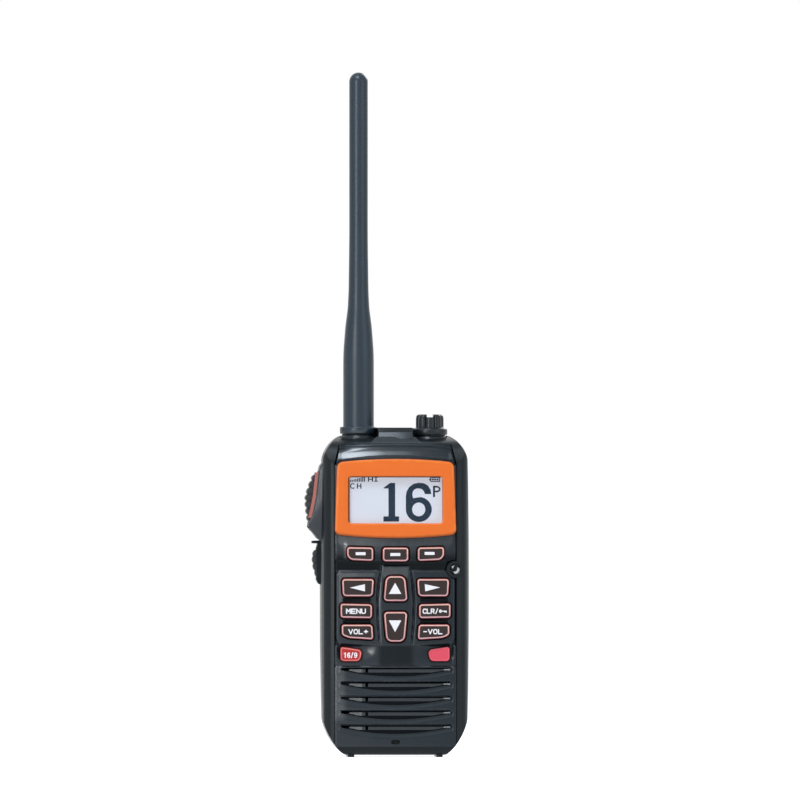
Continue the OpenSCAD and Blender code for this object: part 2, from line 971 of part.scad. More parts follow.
module strobe_led() {
  color("#f5f2c8")
    block(
      [strobe_at[0] - 1.2, strobe_front_y + 2.6, strobe_at[1] - 1.2],
      [strobe_at[0] + 1.2, strobe_front_y + 3.8, strobe_at[1] + 1.2]
    );
}

// ---- Antenna ----

antenna_skirt_z = collar_top_z[0] + skirt_gap;
core_r = 1.2;
core_low_z = 144;
core_top_z = antenna_top_z - 8;

// Half section of the whip: a stout foot, a waist and a slim upper length with a round tip
function whip_points() =
  let (foot_r = antenna_foot_d / 2, tip_r = antenna_tip_d / 2, dome_z = antenna_top_z - tip_r)
  concat(
    [[0, antenna_skirt_z], [antenna_collar_d / 2 - 0.4, antenna_skirt_z]],
    [[antenna_collar_d / 2, antenna_skirt_z + 0.4], [antenna_collar_d / 2, antenna_skirt_top_z - 0.5]],
    [[antenna_collar_d / 2 - 0.5, antenna_skirt_top_z], [foot_r, antenna_skirt_top_z + 0.2]],
    [[foot_r, 165], [foot_r - 0.12, 169.5], [5.5, 179.5], [4.5, 187], [4.15, 194.5], [3.95, 209.6]],
    [[tip_r, 218]],
    [for (i = [0:8]) [tip_r * cos(90 * i / 8), dome_z + tip_r * sin(90 * i / 8)]]
  );

module o_ring_groove(r, z) {
  rotate_extrude()
    translate([r - ring_wire_r - 0.15, z - 1])
      square([2 * ring_wire_r + 0.3, 1 + ring_wire_r * 2 + 0.25]);
}

module antenna_sheath() {
  color("#404a54")
    translate([-socket_x, socket_y, 0])
      difference() {
        rotate_extrude()
          polygon(whip_points());
        o_ring_groove(ring_r[0], antenna_skirt_z - skirt_gap + rest_gap);
        cylinder(r = antenna_stud_r, h = core_low_z);
        translate([0, 0, core_low_z - eps])
          cylinder(r = core_r, h = core_top_z - core_low_z);
      }
}

module antenna_core() {
  color("#b98a52")
    rod_z(-socket_x, socket_y, core_r, core_low_z, core_top_z - eps);
}

module antenna_plug() {
  color("#c7a14d")
    rod_z(-socket_x, socket_y, antenna_stud_r, stud_low_z, core_low_z);
}

module o_ring(x, r, z) {
  translate([x, socket_y, z])
    rotate_extrude()
      translate([r, 0])
        circle(r = ring_wire_r, $fn = 24);
}

module antenna_o_ring() {
  color("#141517")
    o_ring(-socket_x, ring_r[0], collar_top_z[0] + rest_gap + ring_wire_r);
}

module antenna_bushing() {
  color("#3a4149")
    translate([-socket_x, socket_y, 0])
      difference() {
        union() {
          translate([0, 0, collar_low_z[0]])
            cylinder(r = antenna_collar_d / 2, h = collar_top_z[0] - collar_low_z[0]);
          translate([0, 0, collar_low_z[0] - 10])
            cylinder(r = barrel_r, h = 10 + eps);
        }
        translate([0, 0, stud_low_z - 1.5])
          cylinder(r = antenna_stud_r + rest_gap, h = 20);
      }
}

// ---- Speaker-microphone jack and its cap ----

cap_skirt_z = collar_top_z[1] + skirt_gap;
grip_r = 4.9;
grip_lobe_r = 1.5;
grip_lobe_at = 4.3;
grip_lobes = 8;

module audio_jack() {
  color("#3a4149")
    translate([socket_x, socket_y, 0])
      difference() {
        union() {
          translate([0, 0, collar_low_z[1]])
            cylinder(r = jack_collar_d / 2, h = collar_top_z[1] - collar_low_z[1]);
          translate([0, 0, collar_low_z[1] - 12])
            cylinder(r = barrel_r, h = 12 + eps);
        }
        translate([0, 0, stud_low_z - 1])
          cylinder(r = jack_stud_r + rest_gap, h = 20);
        translate([0, 0, stud_low_z - 6])
          cylinder(r = 1.8, h = 20);
      }
}

module jack_cap() {
  color("#3c4042")
    translate([socket_x, socket_y, 0])
      difference() {
        union() {
          rotate_extrude()
            polygon([
              [0, cap_skirt_z], [jack_collar_d / 2 - 0.3, cap_skirt_z],
              [jack_collar_d / 2, cap_skirt_z + 0.3], [jack_collar_d / 2, cap_skirt_top_z - 0.6],
              [jack_collar_d / 2 - 0.6, cap_skirt_top_z], [0, cap_skirt_top_z]
            ]);
          translate([0, 0, cap_skirt_top_z - eps])
            cylinder(r = grip_r, h = cap_top_z - cap_skirt_top_z);
          for (i = [0:grip_lobes - 1])
            rotate([0, 0, 360 * i / grip_lobes])
              translate([grip_lobe_at, 0, cap_skirt_top_z - eps])
                cylinder(r = grip_lobe_r, h = cap_top_z - cap_skirt_top_z, $fn = 32);
          translate([0, 0, stud_low_z])
            cylinder(r = jack_stud_r, h = cap_skirt_z - stud_low_z + eps);
        }
        o_ring_groove(ring_r[1], cap_skirt_z - skirt_gap + rest_gap);
        block([-1.4, -big, cap_top_z - 1.2], [1.4, big, big]);
      }
}

module jack_cap_o_ring() {
  color("#141517")
    o_ring(socket_x, ring_r[1], collar_top_z[1] + rest_gap + ring_wire_r);
}

// ---- Talk button and side key ----

// The button's face: a ribbed curve, furthest out a little above its middle
ptt_rib_count = 9;
ptt_crest_z = 107.8;

function ptt_face(z) =
  let (t = z > ptt_crest_z ? (z - ptt_crest_z) / 12.5 : (ptt_crest_z - z) / 19)
  -ptt_reach + 0.25 + 3.9 * t * t;

module ptt_button() {
  step = (ptt_z[1] - ptt_z[0] - 1.2) / (2 * ptt_rib_count);
  face = [for (i = [0:2 * ptt_rib_count])
    let (z = ptt_z[0] + 0.6 + i * step)
    [ptt_face(z) + (i % 2 == 0 ? 0.45 : -0.25), z]];
  color("#23262a") {
    from_front(-ptt_half_d + 0.4, ptt_half_d - 0.4)
      polygon(concat(
        [[-half_w, ptt_z[0] + 0.4]],
        face,
        [[-half_w, ptt_z[1] - 0.4]]
      ));
    block(
      [-half_w - eps, -ptt_half_d + 0.4, ptt_z[0] + 0.4],
      [flank_lip_x + 0.8, ptt_half_d - 0.4, ptt_z[1] - 0.4]
    );
    block(
      [flank_lip_x + rest_gap, -ptt_half_d - 1, ptt_z[0] - 1],
      [flank_lip_x + 0.8, ptt_half_d + 1, ptt_z[1] + 1]
    );
    block([flank_lip_x + 0.5, -1.5, 104.5], [flank_lip_x + 2.4, 1.5, 107.5]);
  }
}

// The stripe that shows round the button
module ptt_trim() {
  color("#cd7d73")
    difference() {
      from_front(-ptt_half_d + rest_gap, ptt_half_d - rest_gap)
        polygon([
          [-half_w - 1, ptt_z[0] + rest_gap], [-34.4, ptt_z[0] + 0.3], [-36, 98], [-36, 100], [-35.2, 103.4],
          [-34.2, 108.5], [-33.5, 114], [-33, ptt_z[1] - rest_gap], [-half_w - 1, ptt_z[1] - rest_gap]
        ]);
      block([-big, -ptt_half_d + 0.4, ptt_z[0] + 0.4], [big, ptt_half_d - 0.4, ptt_z[1] - 0.4]);
    }
}

module ptt_switch() {
  color("#8e9296")
    block(
      [flank_lip_x + 2.4 + ptt_travel + rest_gap, -2.5, 103],
      [switch_wall_x, 2.4, 109]
    );
}

module side_key() {
  rib_count = 5;
  step = (side_key_z[1] - side_key_z[0] - 0.8) / (2 * rib_count);
  middle = (side_key_z[0] + side_key_z[1]) / 2;
  face = [for (i = [0:2 * rib_count])
    let (z = side_key_z[0] + 0.4 + i * step, rise = z - side_key_crest_z)
    let (t = rise / (rise > 0 ? side_key_reach_z[1] : side_key_reach_z[0]))
    [-side_key_reach + side_key_fall * t * t + (i % 2 == 0 ? 0.35 : 0), z]];
  color("#2a2e32") {
    from_front(-side_key_half_d, side_key_half_d)
      polygon(concat([[-half_w, side_key_z[0]]], face, [[-half_w, side_key_z[1]]]));
    block(
      [-half_w - eps, -side_key_half_d, side_key_z[0]],
      [flank_lip_x + 0.8, side_key_half_d, side_key_z[1]]
    );
    block(
      [flank_lip_x + rest_gap, -side_key_half_d - 1, side_key_z[0] - 1],
      [flank_lip_x + 0.8, side_key_half_d + 1, side_key_z[1] + 1]
    );
    block([flank_lip_x + 0.5, -1.5, middle - 1.5], [flank_lip_x + 2, 1.5, middle + 1.5]);
  }
}

module side_switch() {
  middle = (side_key_z[0] + side_key_z[1]) / 2;
  color("#8e9296")
    block(
      [flank_lip_x + 2 + side_key_travel + rest_gap, -2, middle - 2.5],
      [switch_wall_x, 2, middle + 2.5]
    );
}

// ---- Battery pack ----

pack_wall = 1.5;
cover_t = 2;
latch_w = 9;
latch_z = [pack_top_z - 12, pack_top_z - 0.1];
latch_t = 2.6;              // how far the latch reaches below the cover
latch_spring_room = 2.4;
latch_play = 0.3;
latch_rib_z = latch_z[0] + 3;
latch_rib_pitch = 2.2;

module pack_outline() {
  polygon(rounded(plate_corners(pack_w / 2, pack_low_z, pack_top_z, 1.5)));
}

module latch_space() {
  half_x = latch_w / 2 + latch_play;
  low_y = back_y - cover_t - latch_t - latch_play;
  block([-half_x, low_y, latch_z[0] - latch_spring_room - latch_play], [half_x, big, big]);
}

module battery_case() {
  color("#2b2f33")
    difference() {
      union() {
        difference() {
          from_front(pack_y, back_y - cover_t)
            pack_outline();
          from_front(pack_y + pack_wall, back_y - cover_t + 1)
            offset(delta = -pack_wall)
              pack_outline();
        }
        // pocket for the latch and its spring
        block(
          [-latch_w / 2 - 1.8, back_y - cover_t - 4.4, latch_z[0] - 4.2],
          [latch_w / 2 + 1.8, back_y - cover_t, pack_top_z - 0.2]
        );
      }
      latch_space();
      for (x = contact_xs)
        rod_y(x, contact_z, contact_r + 0.6, 0, pack_y + 0.5);
    }
}

module battery_cover() {
  color("#2f3438")
    difference() {
      from_front(back_y - cover_t, back_y)
        pack_outline();
      latch_space();
      for (x = [-1, 1])
        for (z = bracket_screw_zs)
          rod_y(x * bracket_screw_x, z, 0.9, 0, big);
    }
}

cell_gap = 0.6;
cell_z = [16, 76];

module battery_cells() {
  color("#4f6f9a")
    for (side = [-1, 1])
      translate([side * (pack_w - 2 * pack_wall) / 4, 0, 0])
        from_front(pack_y + pack_wall + 0.3, back_y - cover_t - 0.4)
          polygon(rounded(plate_corners((pack_w / 2 - pack_wall) / 2 - cell_gap, cell_z[0], cell_z[1], 2)));
}

module battery_terminals() {
  color("#d9b24a")
    for (x = contact_xs)
      rod_y(x, contact_z, contact_r + 0.6, pack_y + 0.25, pack_y + 0.5);
}

module radio_contacts() {
  color("#d9b24a")
    for (x = contact_xs) {
      rod_y(x, contact_z, contact_r, bay_y - 3.5, pack_y + 0.2);
      rod_y(x, contact_z, contact_r + 0.5, bay_y - 3.5, bay_y - wall - rest_gap);
    }
}

module battery_latch() {
  y0 = back_y - cover_t - latch_t;
  color("#3b4045") {
    block([-latch_w / 2, y0, latch_z[0]], [latch_w / 2, back_y - 0.1, latch_z[1]]);
    for (i = [0:3])
      block([-latch_w / 2 + 1, back_y - 0.2, latch_rib_z + latch_rib_pitch * i],
            [latch_w / 2 - 1, back_y + 0.5, latch_rib_z + 1 + latch_rib_pitch * i]);
    block([-3.6, back_y - 4.4, latch_z[1] - 1], [3.6, back_y - 2.9, latch_z[1] + 0.2]);
  }
}

module latch_spring() {
  color("#a9adb1")
    translate([0, back_y - cover_t - 1.2, latch_z[0] - 2.3])
      for (i = [0:3])
        translate([0, 0, 0.2 + 0.55 * i])
          rotate_extrude()
            translate([0.9, 0])
              circle(r = 0.2, $fn = 16);
}

// ---- Belt clip ----

bracket_w = 12;
bracket_plate_t = 1.6;
bracket_plate_x = 9;
bracket_plate_z = [66.4, 85];
bracket_screw_x = 6.5;
bracket_screw_zs = [69, 82.4];
ear_t = 2;
ear_r = 2.8;

module clip_bracket() {
  color("#303439")
    difference() {
      union() {
        from_front(back_y, back_y + bracket_plate_t)
          polygon(rounded(plate_corners(bracket_plate_x, bracket_plate_z[0], bracket_plate_z[1], 1.5)));
        for (side = [-1, 1])
          translate([side * (bracket_w / 2 - ear_t / 2), 0, 0]) {
            rod_x(pivot_y, pivot_z, ear_r, -ear_t / 2, ear_t / 2);
            block([-ear_t / 2, back_y, pivot_z - ear_r], [ear_t / 2, pivot_y, pivot_z + ear_r]);
          }
      }
      rod_x(pivot_y, pivot_z, pin_r, -big, big);
      for (side = [-1, 1])
        for (z = bracket_screw_zs)
          rod_y(side * bracket_screw_x, z, 1.1, 0, big);
    }
}

module bracket_screws() {
  color("#8c9094")
    for (side = [-1, 1])
      for (z = bracket_screw_zs) {
        rod_y(side * bracket_screw_x, z, 0.85, back_y - cover_t + 0.2, back_y + bracket_plate_t + eps);
        difference() {
          rod_y(side * bracket_screw_x, z, 1.7, back_y + bracket_plate_t, back_y + bracket_plate_t + 0.9);
          block([side * bracket_screw_x - 1, back_y + bracket_plate_t + 0.5, z - 0.25],
                [side * bracket_screw_x + 1, big, z + 0.25]);
        }
      }
}

module clip_blade_side() {
  polygon(concat(
    rounded([
      [clip_y + 0.2, clip_top_z, 1], [clip_y, pivot_z + 4, 1], [clip_y, clip_low_z + 11, 20],
      [back_y + 0.8, clip_low_z + 4.5, 1.2], [back_y + 0.8, clip_low_z + 2, 0.6],
      [clip_y - 0.2, clip_low_z, 0.8], [clip_y + 1.6, clip_low_z + 0.6, 0.8],
      [clip_y + clip_t, clip_low_z + 11, 20],
      [clip_y + clip_t, pivot_z + 4, 1], [clip_y + clip_t + 0.4, clip_top_z, 1]
    ])
  ));
}

module belt_clip() {
  color("#2c3034")
    difference() {
      union() {
        intersection() {
          from_side(-clip_w / 2, clip_w / 2)
            clip_blade_side();
          from_front(0, big)
            polygon(rounded([
              [-clip_w / 2 + 2.5, clip_low_z - 1, 3], [clip_w / 2 - 2.5, clip_low_z - 1, 3],
              [clip_w / 2, clip_top_z, 3], [-clip_w / 2, clip_top_z, 3]
            ]));
        }
        for (side = [-1, 1])
          translate([side * (bracket_w / 2 + 0.3 + ear_t / 2), 0, 0]) {
            rod_x(pivot_y, pivot_z, ear_r, -ear_t / 2, ear_t / 2);
            block([-ear_t / 2, pivot_y, pivot_z - ear_r], [ear_t / 2, clip_y + 1, pivot_z + ear_r]);
          }
      }
      rod_x(pivot_y, pivot_z, pin_r + rest_gap, -big, big);
      rod_x(pivot_y, pivot_z, ear_r + 0.3, -bracket_w / 2 - 0.3, bracket_w / 2 + 0.3);
    }
}

module clip_pin() {
  color("#b4b8bc")
    rod_x(pivot_y, pivot_z, pin_r, -bracket_w / 2 - ear_t - 0.2, bracket_w / 2 + ear_t + 0.2);
}

module clip_spring() {
  color("#a9adb1")
    for (i = [0:4])
      translate([-3 + 1.5 * i, pivot_y, pivot_z])
        rotate([0, 90, 0])
          rotate_extrude()
            translate([1.7, 0])
              circle(r = 0.35, $fn = 16);
}

front_case();
rear_case();
case_gasket();
case_screws();
display_bezel();
display_window();
lcd_panel();
lcd_backlight();
soft_key_left();
soft_key_centre();
soft_key_right();
left_key();
right_key();
up_key();
down_key();
menu_key();
clear_key();
volume_up_key();
volume_down_key();
channel_16_key();
power_key();
keypad_mat();
dome_sheet();
main_board();
shield_can();
heat_spreader();
speaker_membrane();
speaker_frame();
speaker_cone();
speaker_magnet();
microphone();
mic_seal();
strobe_lens();
strobe_ring();
strobe_led();
antenna_sheath();
antenna_core();
antenna_plug();
antenna_o_ring();
antenna_bushing();
audio_jack();
jack_cap();
jack_cap_o_ring();
ptt_button();
ptt_trim();
ptt_switch();
side_key();
side_switch();
battery_case();
battery_cover();
battery_cells();
battery_terminals();
radio_contacts();
battery_latch();
latch_spring();
belt_clip();
clip_pin();
clip_spring();
clip_bracket();
bracket_screws();
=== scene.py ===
# Floating handheld marine radio: finishes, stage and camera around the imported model.
import json
import math
import bpy
import bmesh
import mathutils
import numpy as np
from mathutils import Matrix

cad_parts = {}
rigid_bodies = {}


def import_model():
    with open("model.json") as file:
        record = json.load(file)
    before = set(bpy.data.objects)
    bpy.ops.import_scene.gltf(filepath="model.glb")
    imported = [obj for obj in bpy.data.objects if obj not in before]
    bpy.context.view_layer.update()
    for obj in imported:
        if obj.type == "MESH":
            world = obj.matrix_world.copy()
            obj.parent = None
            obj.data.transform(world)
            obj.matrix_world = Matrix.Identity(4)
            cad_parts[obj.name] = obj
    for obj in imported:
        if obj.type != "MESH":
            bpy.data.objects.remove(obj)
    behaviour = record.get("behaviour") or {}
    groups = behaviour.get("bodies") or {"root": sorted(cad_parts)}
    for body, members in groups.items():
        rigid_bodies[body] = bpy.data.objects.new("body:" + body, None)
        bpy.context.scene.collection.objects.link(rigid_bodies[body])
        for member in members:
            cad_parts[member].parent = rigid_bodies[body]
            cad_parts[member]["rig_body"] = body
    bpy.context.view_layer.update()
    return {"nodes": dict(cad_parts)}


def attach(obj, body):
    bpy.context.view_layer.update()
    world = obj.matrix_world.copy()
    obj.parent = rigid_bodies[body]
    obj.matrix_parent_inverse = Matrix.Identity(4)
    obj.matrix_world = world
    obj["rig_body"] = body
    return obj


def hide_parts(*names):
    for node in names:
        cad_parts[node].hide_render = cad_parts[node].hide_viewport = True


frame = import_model()
nodes = frame["nodes"]
mm = 0.001


# A socket that can be used in sums, so that 1 - mask or noise * 0.3 makes the Math nodes by itself
class Socket:
    def __init__(self, material, link):
        self.material = material
        self.link = link

    def math(self, operation, first, second, clamp=False):
        settings = {"operation": operation, "use_clamp": clamp}
        return self.material.node("ShaderNodeMath", settings, {0: first, 1: second})

    def __add__(self, other):
        return self.math("ADD", self, other)

    def __radd__(self, other):
        return self.math("ADD", other, self)

    def __sub__(self, other):
        return self.math("SUBTRACT", self, other)

    def __rsub__(self, other):
        return self.math("SUBTRACT", other, self)

    def __mul__(self, other):
        return self.math("MULTIPLY", self, other)

    def __rmul__(self, other):
        return self.math("MULTIPLY", other, self)

    def above(self, edge, width):
        # 0 below the edge, 1 above edge + width, straight between
        return self.math("MULTIPLY", self - edge, 1 / width, clamp=True)


# The nodes of a material or of the world, emptied, with an output of the given type
class Finish:
    def __init__(self, name, shader="ShaderNodeBsdfPrincipled", world=False, **values):
        self.made = (bpy.data.worlds if world else bpy.data.materials).new(name)
        self.made.use_nodes = True
        self.tree = self.made.node_tree
        self.tree.nodes.clear()
        self.marks = []
        self.output = self.tree.nodes.new("ShaderNodeOutputWorld" if world else "ShaderNodeOutputMaterial")
        self.shader = self.tree.nodes.new(shader)
        self.show(Socket(self, self.shader.outputs[0]))
        self.set(**values)

    def show(self, surface):
        self.tree.links.new(surface.link, self.output.inputs["Surface"])

    def feed(self, node, socket, value):
        target = node.inputs[socket]
        if isinstance(value, Socket):
            self.tree.links.new(value.link, target)
        elif isinstance(value, tuple) and len(value) == 3 and target.type == "RGBA":
            target.default_value = (*value, 1)
        else:
            target.default_value = value

    def set(self, **values):
        for socket, value in values.items():
            self.feed(self.shader, socket.replace("_", " "), value)
        return self

    # One node: its type, its settings, then the values or links of its sockets
    def node(self, kind, settings=None, inputs=None, output=0):
        made = self.tree.nodes.new(kind)
        for name, value in (settings or {}).items():
            setattr(made, name, value)
        for socket, value in (inputs or {}).items():
            self.feed(made, socket, value)
        return Socket(self, made.outputs[output])

    def noise(self, size, detail, rough=0.5, stretch=(1, 1, 1)):
        # on Object coordinates, stretched by a Mapping node; size is the width of a bump in metres
        where = self.node("ShaderNodeTexCoord", output="Object")
        if stretch != (1, 1, 1):
            where = self.node("ShaderNodeMapping", {}, {"Vector": where, "Scale": stretch})
        return self.node("ShaderNodeTexNoise", {}, {
            "Vector": where, "Scale": 1 / size, "Detail": detail, "Roughness": rough})

    def blend(self, mask, low, high):
        # a colour between low and high
        return self.node("ShaderNodeMix", {"data_type": "RGBA"}, {"Factor": mask, 6: low, 7: high}, output=2)

    def scaled(self, colour, factor):
        # a colour times a number, by Vector Math
        return self.node("ShaderNodeVectorMath", {"operation": "SCALE"}, {0: colour, "Scale": factor})

    def attribute(self, name):
        # a mark of 0 to 1 that the mesh carries: makePiece gives it to each piece that wears this finish
        self.marks.append(name)
        return self.node("ShaderNodeAttribute", {"attribute_name": name}, output="Fac")

    def bump(self, height, depth, strength):
        # height 0..1, depth in metres
        return self.node("ShaderNodeBump", {}, {"Height": height, "Distance": depth, "Strength": strength})


# A screen colour, 0 to 255, as the linear numbers that shaders take
def paint(red, green, blue):
    values = np.array([red, green, blue]) / 255
    linear = np.where(values <= 0.04045, values / 12.92, ((values + 0.055) / 1.055) ** 2.4)
    return tuple(float(v) for v in linear)


def unit(v):
    return v / np.linalg.norm(v)


def fillet(before, corner, after, radius, steps):
    # arc of a circle that touches both sides of the corner
    u, v = unit(before - corner), unit(after - corner)
    half = math.acos(np.clip(u @ v, -1, 1)) / 2
    centre = corner + unit(u + v) * radius / math.sin(half)
    start = corner + u * radius / math.tan(half) - centre
    turn = np.sign(u[0] * v[1] - u[1] * v[0]) * (2 * half - math.pi) * np.linspace(0, 1, steps + 1)
    return centre + np.stack([start[0] * np.cos(turn) - start[1] * np.sin(turn),
                              start[0] * np.sin(turn) + start[1] * np.cos(turn)], 1)


def roundedOutline(corners, steps=6):
    # corners are [x, z, radius], anticlockwise
    at = np.array(corners, float)
    return np.concatenate([
        fillet(at[i - 1, :2], at[i, :2], at[(i + 1) % len(at), :2], at[i, 2], steps)
        for i in range(len(at))])


def offsetLoop(points, out):
    # every side of a closed outline moves outwards by out: a corner goes along the sum of its two normals
    d = np.roll(points, -1, 0) - points
    d = d / np.linalg.norm(d, axis=1, keepdims=True)
    after = np.stack([d[:, 1], -d[:, 0]], 1)
    before = np.roll(after, 1, 0)
    return points + out * (before + after) / (1 + (before * after).sum(1, keepdims=True))


def roundedRect(x, z, width, height, radius, steps=6):
    # a rectangle round x, z with four equal corners
    return roundedOutline([[x + i * width / 2, z + j * height / 2, radius]
                           for i, j in ((-1, -1), (1, -1), (1, 1), (-1, 1))], steps)


def rect(x0, z0, x1, z1):
    return np.array([[x0, z0], [x1, z0], [x1, z1], [x0, z1]], float)


def ellipse(x, z, a, b, first=0, last=360, steps=40):
    t = np.radians(np.linspace(first, last, steps, endpoint=last - first < 360))
    return np.stack([x + a * np.cos(t), z + b * np.sin(t)], 1)


def distanceTo(outline, x, z):
    # signed distance to a closed outline: negative inside
    ax, az = outline[:, 0], outline[:, 1]
    bx, bz = np.roll(ax, -1), np.roll(az, -1)
    flatX, flatZ = x.ravel()[:, None], z.ravel()[:, None]
    ex, ez = bx - ax, bz - az
    t = np.clip(((flatX - ax) * ex + (flatZ - az) * ez) / np.maximum(ex * ex + ez * ez, 1e-12), 0, 1)
    away = np.sqrt(((flatX - ax - t * ex) ** 2 + (flatZ - az - t * ez) ** 2).min(1))
    crossing = ((az > flatZ) != (bz > flatZ)) & (flatX < ax + ex * (flatZ - az) / np.where(ez == 0, 1e-12, ez))
    inside = crossing.sum(1) % 2 == 1
    return np.where(inside, -away, away).reshape(x.shape)


def ease(low, high, value):
    # smooth step from 0 at low to 1 at high
    t = np.clip((value - low) / (high - low), 0, 1)
    return t * t * (3 - 2 * t)


def band(value, low, rise, fall, high):
    # 0 up to low, 1 from rise to fall, and 0 again from high on
    return ease(high, fall, value) * ease(low, rise, value)


def gridFaces(rows, columns, closed=False):
    # quads of a grid whose vertices run along the columns first; closed joins the last column to the first
    r, c = np.meshgrid(np.arange(rows - 1), np.arange(columns if closed else columns - 1), indexing="ij")
    a = r * columns + c
    b = r * columns + (c + 1) % columns
    return np.stack([a, b, b + columns, a + columns], -1).reshape(-1, 4)


def loftRings(rings, caps=True):
    # rings is (count, points, 3): a skin over them, with a flat face at each end
    rings = np.array(rings, float)
    count, points = rings.shape[:2]
    faces = gridFaces(count, points, closed=True).tolist()
    if caps:
        loop = np.arange(points)
        faces += [loop[::-1].tolist(), (loop + (count - 1) * points).tolist()]
    return rings.reshape(-1, 3), faces


def revolve(profile, centre, axis="z", steps=96, lobes=None):
    # profile is [radius, height] from pole to pole, turned about an upright axis or one along y
    radius, height = np.array(profile, float).T[:, :, None]
    angle = np.linspace(0, 2 * math.pi, steps, endpoint=False)
    r = lobes(radius, height, angle) if lobes else radius * np.ones(steps)
    u, v, h = centre[0] + r * np.cos(angle), centre[1] + r * np.sin(angle), height * np.ones(steps)
    return loftRings(np.stack([u, v, h] if axis == "z" else [u, h, v], -1))


def joined(*parts):
    # several (points, faces) as one
    points, faces, start = [], [], 0
    for partPoints, partFaces in parts:
        points.append(partPoints)
        faces += [[i + start for i in face] for face in partFaces]
        start += len(partPoints)
    return np.concatenate(points), faces


def level(outline, z):
    # an outline in x and y as a ring at height z
    return np.column_stack([outline, np.full(len(outline), z)])


def roundBox(low, high, radius, steps=3):
    # a block with round edges: stacked outlines that pull in near each end of z
    low, high = np.array(low, float), np.array(high, float)
    middle, size = (low + high) / 2, high - low
    turn = np.linspace(0, math.pi / 2, steps + 1)
    inset, rise = radius * (1 - np.sin(turn)), radius * (1 - np.cos(turn))
    heights = [*zip(inset, low[2] + rise), *zip(inset[::-1], high[2] - rise[::-1])]
    return loftRings([level(roundedRect(*middle[:2], *(size[:2] - 2 * i), max(radius - i, 0.02), 4), z)
                      for i, z in heights])


def densify(points, step, closed=True):
    # extra points on a line, step millimetres apart
    ends = np.roll(points, -1, 0) if closed else points[1:]
    starts = points if closed else points[:-1]
    along = np.linalg.norm(ends - starts, axis=1)
    total = np.concatenate([[0], np.cumsum(along)])
    line = np.concatenate([starts, ends[-1:]])
    where = np.linspace(0, total[-1], max(int(total[-1] / step), 4) + 1)
    where = where[:-1] if closed else where
    return np.stack([np.interp(where, total, line[:, i]) for i in range(2)], 1)


def standing(outline, y):
    # an outline in x and z as a ring at depth y, one value or one for each point
    return np.column_stack([outline[:, 0], np.full(len(outline), y), outline[:, 1]])


def prism(outline, y0, y1):
    return loftRings([standing(np.asarray(outline, float), y) for y in (y0, y1)])


def flaredPrism(outline, levels):
    # levels are [y, growth]: the outline widens or narrows on its way, as a chamfered hole does
    return loftRings([standing(offsetLoop(outline, grow), y) for y, grow in levels])


def plate(outline, face, back, edge):
    # a flat plate with a chamfered front edge
    return flaredPrism(outline, [(back, 0), (face + edge, 0), (face, -edge)])


def shell(front, y):
    # a closed skin from rows of points: each row runs over the front and returns at depth y
    back = front.copy()
    back[..., 1] = y
    return loftRings(np.concatenate([front, back[:, ::-1]], 1))


def smoothed(values, window):
    # a moving mean by a window of odd length, which leaves both ends alone
    half = len(window) // 2
    values[half:-half] = np.convolve(values, window / window.sum(), "valid")
    return values


def boxSolid(low, high):
    # a plain block, as (points, faces)
    return loftRings([level(rect(*low[:2], *high[:2]), z) for z in (low[2], high[2])])


def solid(points, faces, name="cutter", marks=None, merge=0.0):
    # a closed mesh in the scene, from points in millimetres, with its faces outward
    mesh = bpy.data.meshes.new(name)
    mesh.from_pydata((np.asarray(points, float) * mm).tolist(), [], [list(map(int, f)) for f in faces])
    for mark, values in (marks or {}).items():
        layer = mesh.attributes.new(mark, "FLOAT", "POINT")
        layer.data.foreach_set("value", np.zeros(len(points), np.float32) + np.asarray(values, np.float32).ravel())
    made = bpy.data.objects.new(name, mesh)
    bpy.context.scene.collection.objects.link(made)
    work = bmesh.new()
    work.from_mesh(mesh)
    if merge:
        bmesh.ops.remove_doubles(work, verts=work.verts, dist=merge * mm)
    bmesh.ops.recalc_face_normals(work, faces=work.faces)
    work.to_mesh(mesh)
    work.free()
    return made


def makePiece(name, shape, finish, body="root", replaces=None, sharp=35, marks=None, merge=0.0):
    # shape is (points, faces); a mark that the finish reads and the call leaves out is 0 all over
    given = marks or {}
    piece = solid(*shape, name, {mark: given.get(mark, 0) for mark in finishes[finish].marks}, merge)
    piece.data.shade_smooth()
    piece.data.set_sharp_from_angle(angle=math.radians(sharp))
    piece.data.materials.append(finishes[finish].made)
    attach(piece, body)
    if replaces:
        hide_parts(replaces)


def carve(points, faces, cutters):
    # the solid less each cutter, as (points in millimetres, faces)
    body = solid(points, faces, "body")
    tools = [solid(*cutter) for cutter in cutters]
    for tool in tools:
        step = body.modifiers.new("cut", "BOOLEAN")
        step.operation, step.object, step.solver = "DIFFERENCE", tool, "MANIFOLD"
    bpy.context.view_layer.update()
    result = bpy.data.meshes.new_from_object(body.evaluated_get(bpy.context.evaluated_depsgraph_get()))
    at = np.zeros(len(result.vertices) * 3)
    result.vertices.foreach_get("co", at)
    polygons = [list(p.vertices) for p in result.polygons]
    for made in [body] + tools:
        old = made.data
        bpy.data.objects.remove(made)
        bpy.data.meshes.remove(old)
    bpy.data.meshes.remove(result)
    return at.reshape(-1, 3) / mm, polygons


